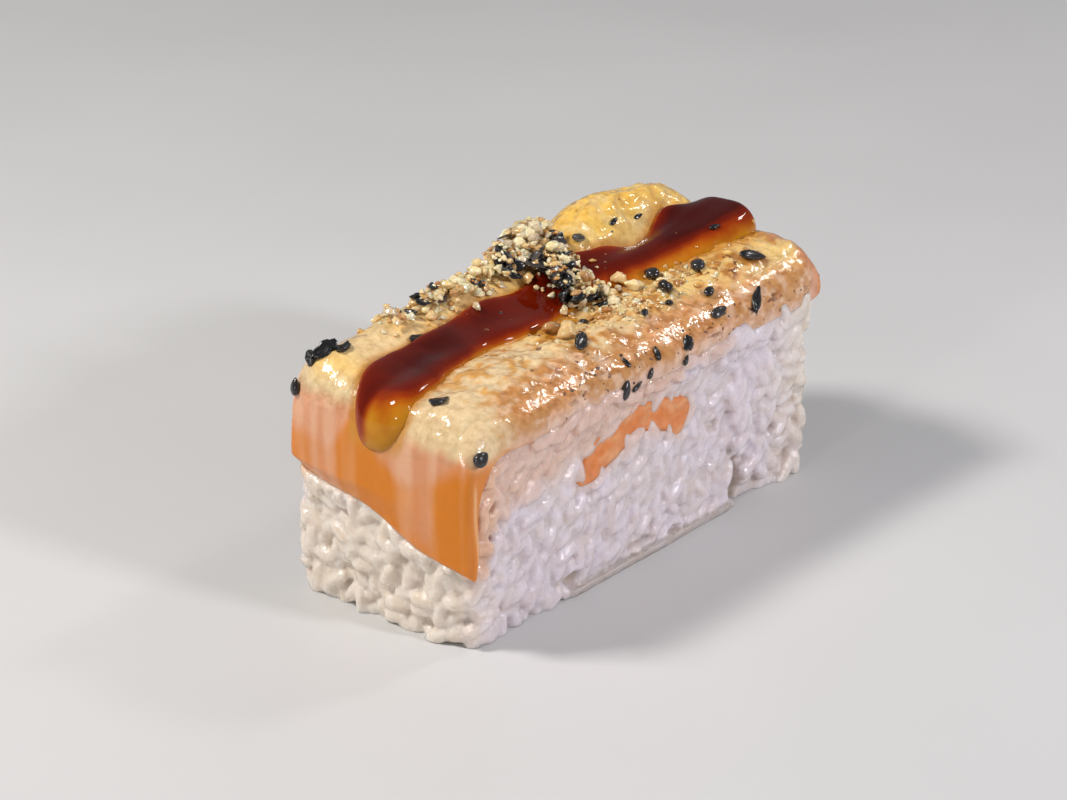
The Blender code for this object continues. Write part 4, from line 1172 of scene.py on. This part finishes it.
def close_ends(made):
    """Closes a tube's two open ends with faces fine enough to be shaped."""
    bm = bmesh.new()
    bm.from_mesh(made.data)
    caps = bmesh.ops.holes_fill(bm, edges=[e for e in bm.edges if e.is_boundary], sides=0)["faces"]
    bmesh.ops.triangulate(bm, faces=caps)
    for _ in range(3):
        at_end = [e for e in bm.edges if any(abs(f.normal.y) > 0.7 for f in e.link_faces)]
        long_ones = [e for e in at_end if e.calc_length() > FILLING_LONGEST_EDGE * MM]
        bmesh.ops.subdivide_edges(bm, edges=long_ones, cuts=1)
        bmesh.ops.triangulate(bm, faces=[f for f in bm.faces if len(f.verts) > 3])
    bmesh.ops.recalc_face_normals(bm, faces=bm.faces)
    bm.to_mesh(made.data)
    bm.free()


def tree_of(*objects):
    """A search tree over the surfaces of some objects, in millimetres."""
    points, faces, start = [], [], 0
    for made in objects:
        points.append(points_of(made))
        faces.extend([start + i for i in p.vertices] for p in made.data.polygons)
        start += len(points[-1])
    return BVHTree.FromPolygons([Vector(p) for p in np.concatenate(points)], faces)


def seed_template():
    """A sesame seed: flat, rounded at one end and drawn to a point at the other."""
    points, faces = ball(16, 10)
    x, y, z = points.T
    taper = 1 - 0.45 * ((x + 1) / 2) ** 1.6
    return np.stack([x, y * taper, z * taper * (1 - 0.15 * np.cos(3 * y))], 1) / 2, faces


def nut_template(rng, subdivisions, rough):
    """A bit of chopped nut: broken flat on some sides and lumpy on the others."""
    bm = bmesh.new()
    bmesh.ops.create_icosphere(bm, subdivisions=subdivisions, radius=0.5)
    cuts = []
    for _ in range(6):
        facing = Vector((rng.gauss(0, 1), rng.gauss(0, 1), rng.gauss(0, 1))).normalized()
        cuts.append((facing, rng.uniform(0.22, 0.36)))
    shift = Vector((rng.uniform(0, 50), rng.uniform(0, 50), rng.uniform(0, 50)))
    for v in bm.verts:
        for facing, reach in cuts:
            over = v.co.dot(facing) - reach
            if over > 0:
                v.co -= facing * over * 0.92
        v.co *= 1 + rough * noise.noise(v.co * 4.0 + shift)
    return points_and_faces(bm)


def broken_seed_template(rng):
    """Part of a black seed: its shell torn open on one side."""
    points, faces = ball(14, 10)
    for _ in range(2):
        tear = Vector((rng.uniform(-1, 1), rng.uniform(-1, 1), 0.8)).normalized()
        over = np.maximum(points @ np.array(tear) - 0.3, 0)
        points = points - over[:, None] * np.array(tear) * 1.5
    points = points * (1 + 0.3 * clouds(points, 0.7, rng.uniform(1, 9), 2)[:, None])
    return points / 2, faces


def crumb_material(name, tones, gloss, clear=0.15, coat=0.8):
    """Wet bits whose tones run through a list of colours."""
    shading = Shading(name, Roughness=gloss, Coat_Weight=coat, Coat_Roughness=0.07)
    shading.glow(clear, (1.0, 0.6, 0.3), 0.6)
    stops = [(k / (len(tones) - 1), tone) for k, tone in enumerate(tones)]
    shifted = shading.add(shading.layer("tone", "Fac"), shading.between(shading.noise(0.9, 3.0), -0.2, 0.2))
    spread = shading.ramp(shifted, stops)
    darker_and_lighter = [(0.35, (0.88, 0.80, 0.70)), (0.6, (1.04, 1.04, 1.04))]
    fleck = shading.ramp(shading.noise(0.35, 4.0, 0.7), darker_and_lighter)
    colour = shading.blend(spread, fleck, 1.0, "MULTIPLY")
    rough = shading.between(shading.noise(0.5, 3.0), gloss - 0.1, gloss + 0.15)
    bump = shading.bump(shading.noise(0.5, 3.0, 0.6), 0.035, 0.9)
    return shading.link(Base_Color=colour, Roughness=rough, Normal=bump, Coat_Normal=bump)


def toned_scatter(name, template, places, rng):
    """Copies of a template as one object, each copy in a tone of its own."""
    made = scatter(name, template, places)
    set_layer(made, "tone", np.repeat([rng.random() for _ in places], len(template[0])))
    return made


def spots_near(rng, count, x, y, sizes):
    """Spots scattered about a place, x and y each as (middle, spread). Spots are (x, y, size)."""
    return [(rng.gauss(*x), rng.gauss(*y), rng.uniform(*sizes)) for _ in range(count)]


def kept_within(spots, low, high):
    """The same spots, moved in along Y where they lie outside two limits."""
    return [(x, min(max(y, low), high), size) for x, y, size in spots]


def ridge_spots(rng):
    """Where the chopped nuts lie along the back crest."""
    spots = []
    for _ in range(210):
        along = rng.betavariate(1.6, 1.1)
        spots.append((-20.5 + 27.5 * along, rng.gauss(8.0, 1.35), rng.uniform(0.6, 1.6)))
    return kept_within(spots, 4.0, 11.0)


def heap_spots(rng):
    """Where the chopped nuts are heaped: a peak on the back crest and a bank over the sauce."""
    peak = kept_within(spots_near(rng, 75, (4.7, 1.5), (9.3, 1.2), (0.7, 1.75)), 0, 11.2)
    bank = []
    for _ in range(125):
        y = rng.uniform(-2.5, 8.5)
        bank.append((2.4 + 0.12 * y + rng.gauss(0, 1.9), y, rng.uniform(0.6, 1.7)))
    return peak, bank


def front_spots(rng):
    """Where single nuts and crumbs lie on the front crest, half sunk in its coat."""
    spots = spots_near(rng, 34, (5.0, 4.4), (-4.2, 1.4), (0.8, 1.7))
    spots += spots_near(rng, 190, (6.5, 7.0), (-5.2, 1.9), (0.3, 0.9))
    return kept_within([spot for spot in spots if -10 < spot[0] < 27], -10.5, -2.0)


def crumb_spots(rng):
    """Where the small crumbs land: among the nuts of the heap."""
    peak, bank = heap_spots(rng)
    base = peak + bank + ridge_spots(rng)
    spots = []
    for _ in range(330):
        x, y, _ = rng.choice(base)
        spots.append((x + rng.gauss(0, 0.9), y + rng.gauss(0, 0.8), rng.uniform(0.35, 0.9)))
    return kept_within(spots, -11.5, 11.0)


def pile(tree, spots, rng, level, cap=1.6, tilt=0.5):
    """Drops bits one by one on the dressed top, each on those that lie there, and returns their places."""
    places = []
    nearby = [(i, j) for i in range(-2, 3) for j in range(-2, 3)]
    for x, y, size in spots:
        hit, normal, _, _ = tree.ray_cast(Vector((x, y, 60)), Vector((0, 0, -1)))
        if hit is None or hit.z < 22:
            continue
        under = [(i, j) for i, j in nearby if math.hypot(i, j) * PILE_CELL <= size * 0.45]
        cells = [(round(x / PILE_CELL) + i, round(y / PILE_CELL) + j) for i, j in under]
        ground = max([hit.z] + [level.get(cell, 0) for cell in cells])
        ground = min(ground, hit.z + cap, PILE_TOP)
        centre = ground + 0.2 * size
        for cell in cells:
            level[cell] = max(level.get(cell, 0), centre + 0.14 * size)
        turn = rng.uniform(0, 2 * math.pi)
        up = normal + Vector((rng.uniform(-tilt, tilt), rng.uniform(-tilt, tilt), 0.4))
        scale = [size * rng.uniform(*share) for share in ((0.9, 1.35), (0.7, 1.0), (0.55, 0.85))]
        places.append(place((x, y, centre), (math.cos(turn), math.sin(turn), 0), up, scale))
    return places


def scatter_kinds(name, kinds, places, rng):
    """One object of many bits, which take turns at a few templates."""
    parts = []
    for k, kind in enumerate(kinds):
        parts.append(toned_scatter(f"{name}_{k}", kind, places[k :: len(kinds)], rng))
    return join_layers(parts, name)


def lay(tree, rows, rng, lift=0.3):
    """Lays pieces on the surface, each as (x, y, z, turn, length, width, thickness)."""
    return [on_surface(tree, (x, y, z), turn, size, lift, rng) for x, y, z, turn, *size in rows]


def make_toppings(tree):
    """Chopped nuts and their crumbs, black sesame, dark husks and fine specks, each kind as one piece."""
    rng = random.Random(23)
    level = {}
    ridge = ridge_spots(rng)
    peak, bank = heap_spots(rng)
    nut_places = lay(tree, WHOLE_NUTS, rng)
    nut_places += pile(tree, ridge, rng, level, 0.8)
    nut_places += pile(tree, bank[:80], rng, level, 0.7)
    nut_places += pile(tree, peak, rng, level, 2.0)
    make_black_seeds(tree, rng, level)

    nut_places += pile(tree, bank[80:], rng, level, 1.5)
    kinds = [nut_template(random.Random(60 + k), 3, 0.3) for k in range(6)]
    nuts = scatter_kinds("chopped_nuts", kinds, nut_places, rng)
    nut_look = crumb_material("chopped_nut", NUT_TONES, 0.22, 0.5, 1.0)
    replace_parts(wear(nuts, nut_look), "nut_and_seed_heap")

    kinds = [nut_template(random.Random(80 + k), 2, 0.4) for k in range(4)]
    front = []
    for x, y, size in front_spots(rng):
        shape = (size, size * 0.8, size * 0.6)
        front.append(on_surface(tree, (x, y, 25.5), rng.uniform(0, 180), shape, 0.1, rng))
    crumb_places = pile(tree, crumb_spots(rng), rng, level, 1.9) + front
    crumbs = scatter_kinds("nut_crumbs", kinds, crumb_places, rng)
    wear(crumbs, crumb_material("nut_crumb", CRUMB_TONES, 0.2, 0.5, 1.0))

    flakes = lay(tree, DARK_FLAKES, rng, 0.25)
    husk_spots = spots_near(rng, 7, (1.6, 2.6), (5.2, 2.4), (1.2, 2.2))
    flakes += pile(tree, husk_spots, rng, level, 1.6, 0.6)
    husk = toned_scatter("dark_husks", flake_template(), flakes, rng)
    wear(husk, crumb_material("dark_husk", HUSK_TONES, 0.24, 0.0, 0.5))

    fine = toned_scatter("fine_specks", ball(6, 4), speck_places(tree, rng), rng)
    wear(fine, crumb_material("fine_speck", SPECK_TONES, 0.3))


def make_black_seeds(tree, rng, level):
    """Whole, broken and clustered black seeds as one piece."""
    broken_spots = spots_near(rng, 17, (2.6, 1.6), (3.2, 2.2), (1.2, 2.3))
    broken_spots += spots_near(rng, 10, (-1.5, 2.2), (6.8, 1.0), (1.0, 2.1))
    broken_spots += spots_near(rng, 6, (1.6, 1.4), (-0.6, 1.0), (1.2, 2.0))
    for _ in range(9):
        broken_spots.append((rng.uniform(-18, -5), rng.gauss(8.0, 1.4), rng.uniform(0.8, 1.5)))
    kinds = [broken_seed_template(random.Random(5 + k)) for k in range(4)]
    broken = scatter_kinds("broken_seeds", kinds, pile(tree, broken_spots, rng, level, 1.2, 0.3), rng)
    rows = [(*seed, 0.8 * seed[-1]) for seed in BLACK_SEEDS]
    whole = toned_scatter("black_seeds", seed_template(), lay(tree, rows, rng), rng)
    chunks = scatter_kinds("black_chunks", kinds, lay(tree, BLACK_CHUNKS, rng), rng)
    look = crumb_material("black_seed", SEED_TONES, 0.24, 0.0, 0.35)
    wear(join_layers([whole, broken, chunks], "black_seeds"), look)


def speck_places(tree, rng):
    """Where fine dark specks lie: half of them on the long side that faces the camera."""
    places = []
    while len(places) < FINE_SPECKS:
        x, y, z = rng.uniform(-16, 28), rng.uniform(-13, 11), rng.uniform(20.8, 26)
        if rng.random() < 0.5:
            y = -13.5
        places.append(on_surface(tree, (x, y, z), rng.uniform(0, 180), speck_size(rng), 0.1, rng))
    return places


def speck_size(rng):
    """Half the length, width and thickness of a fine speck."""
    length = rng.uniform(0.08, 0.26)
    return (length, length * rng.uniform(0.4, 0.9), 0.07)


def flake_template():
    """A piece of husk: a thin curled leaf."""
    points, faces = ball(14, 8)
    x, y, z = points.T
    curl = 0.5 * y**2 + 0.25 * x**2
    height = 0.09 * z + 0.45 * curl + 0.05 * np.sin(5 * x + 3 * y)
    return np.stack([x / 2, y / 2 * (1 - 0.25 * x), height], 1), faces


def on_surface(tree, near, turn, size, lift, rng):
    """Lays a piece where the surface shows at a place, turned from the long axis by a number of degrees."""
    near = Vector(near)
    inner = Vector((min(max(near.x, -17), 23), min(max(near.y, -5), 5), 19))
    outward = (near - inner).normalized()
    spot, normal, _, _ = tree.ray_cast(near + outward * 12, -outward)
    if spot is None:
        spot, normal, _, _ = tree.find_nearest(near)
    angle = math.radians(turn)
    if abs(normal.z) > 0.55:
        along = Vector((math.cos(angle), math.sin(angle), 0))
    elif abs(normal.y) > abs(normal.x):
        along = Vector((math.cos(angle), 0, math.sin(angle)))
    else:
        along = Vector((0, math.cos(angle), math.sin(angle)))
    up = normal + Vector((rng.uniform(-0.12, 0.12) for _ in range(3)))
    return place(spot + normal * lift * size[2], along, up, size)


def make_floor():
    """A pale floor under the piece, for the picture only."""
    corners = [(x * FLOOR_HALF, y * FLOOR_HALF, 0) for x, y in ((-1, -1), (1, -1), (1, 1), (-1, 1))]
    floor = mesh_object("floor", corners, [(0, 1, 2, 3)])
    shading = Shading("floor", Roughness=0.5)
    tones = [(0.3, (0.58, 0.575, 0.57)), (0.7, (0.61, 0.605, 0.60))]
    colour = shading.ramp(shading.noise(60.0, 3.0), tones)
    floor.data.materials.append(shading.link(Base_Color=colour))


def aim(made, at, to):
    """Puts a camera or light at one place and turns it to another."""
    made.location = Vector(at) * MM
    made.rotation_euler = (Vector(to) * MM - made.location).to_track_quat("-Z", "Y").to_euler()


def make_light(name, at, size, power, colour):
    """A rectangular light, aimed at the piece."""
    data = bpy.data.lights.new(name, "AREA")
    data.shape = "RECTANGLE"
    data.size, data.size_y = size[0] * MM, size[1] * MM
    data.energy = power
    data.color = colour
    aim(new_object(name, data), at, LIGHTS_LOOK_AT)


def make_studio():
    """The photo's camera, four lights and a dim sky."""
    scene = bpy.context.scene
    data = bpy.data.cameras.new("camera")
    data.lens, data.sensor_width = CAMERA_LENS, CAMERA_SENSOR
    data.clip_start, data.clip_end = 0.01, 50
    camera = new_object("camera", data)
    aim(camera, CAMERA_AT, CAMERA_LOOKS_AT)
    scene.camera = camera
    make_light("key", (-200, 190, 330), (80, 80), 1.4, (1.0, 0.97, 0.93))
    make_light("gloss", (280, -100, 280), (50, 50), 0.24, (1.0, 0.98, 0.96))
    make_light("fill", (60, -380, 210), (50, 42), 0.95, (0.93, 0.93, 1.0))
    make_light("front", (-380, -60, 120), (38, 38), 0.24, (1.0, 0.96, 0.92))
    world = bpy.data.worlds.new("studio")
    world.use_nodes = True
    sky = world.node_tree.nodes["Background"]
    sky.inputs["Color"].default_value = SKY_COLOUR
    sky.inputs["Strength"].default_value = SKY_STRENGTH
    scene.world = world
    scene.view_settings.view_transform = "Standard"


def main():
    make_studio()
    make_floor()
    salmon = make_salmon()
    cream = make_cream()
    sauce = make_sauce()
    make_rice()
    make_filling()
    make_toppings(tree_of(salmon, cream, sauce))


main()
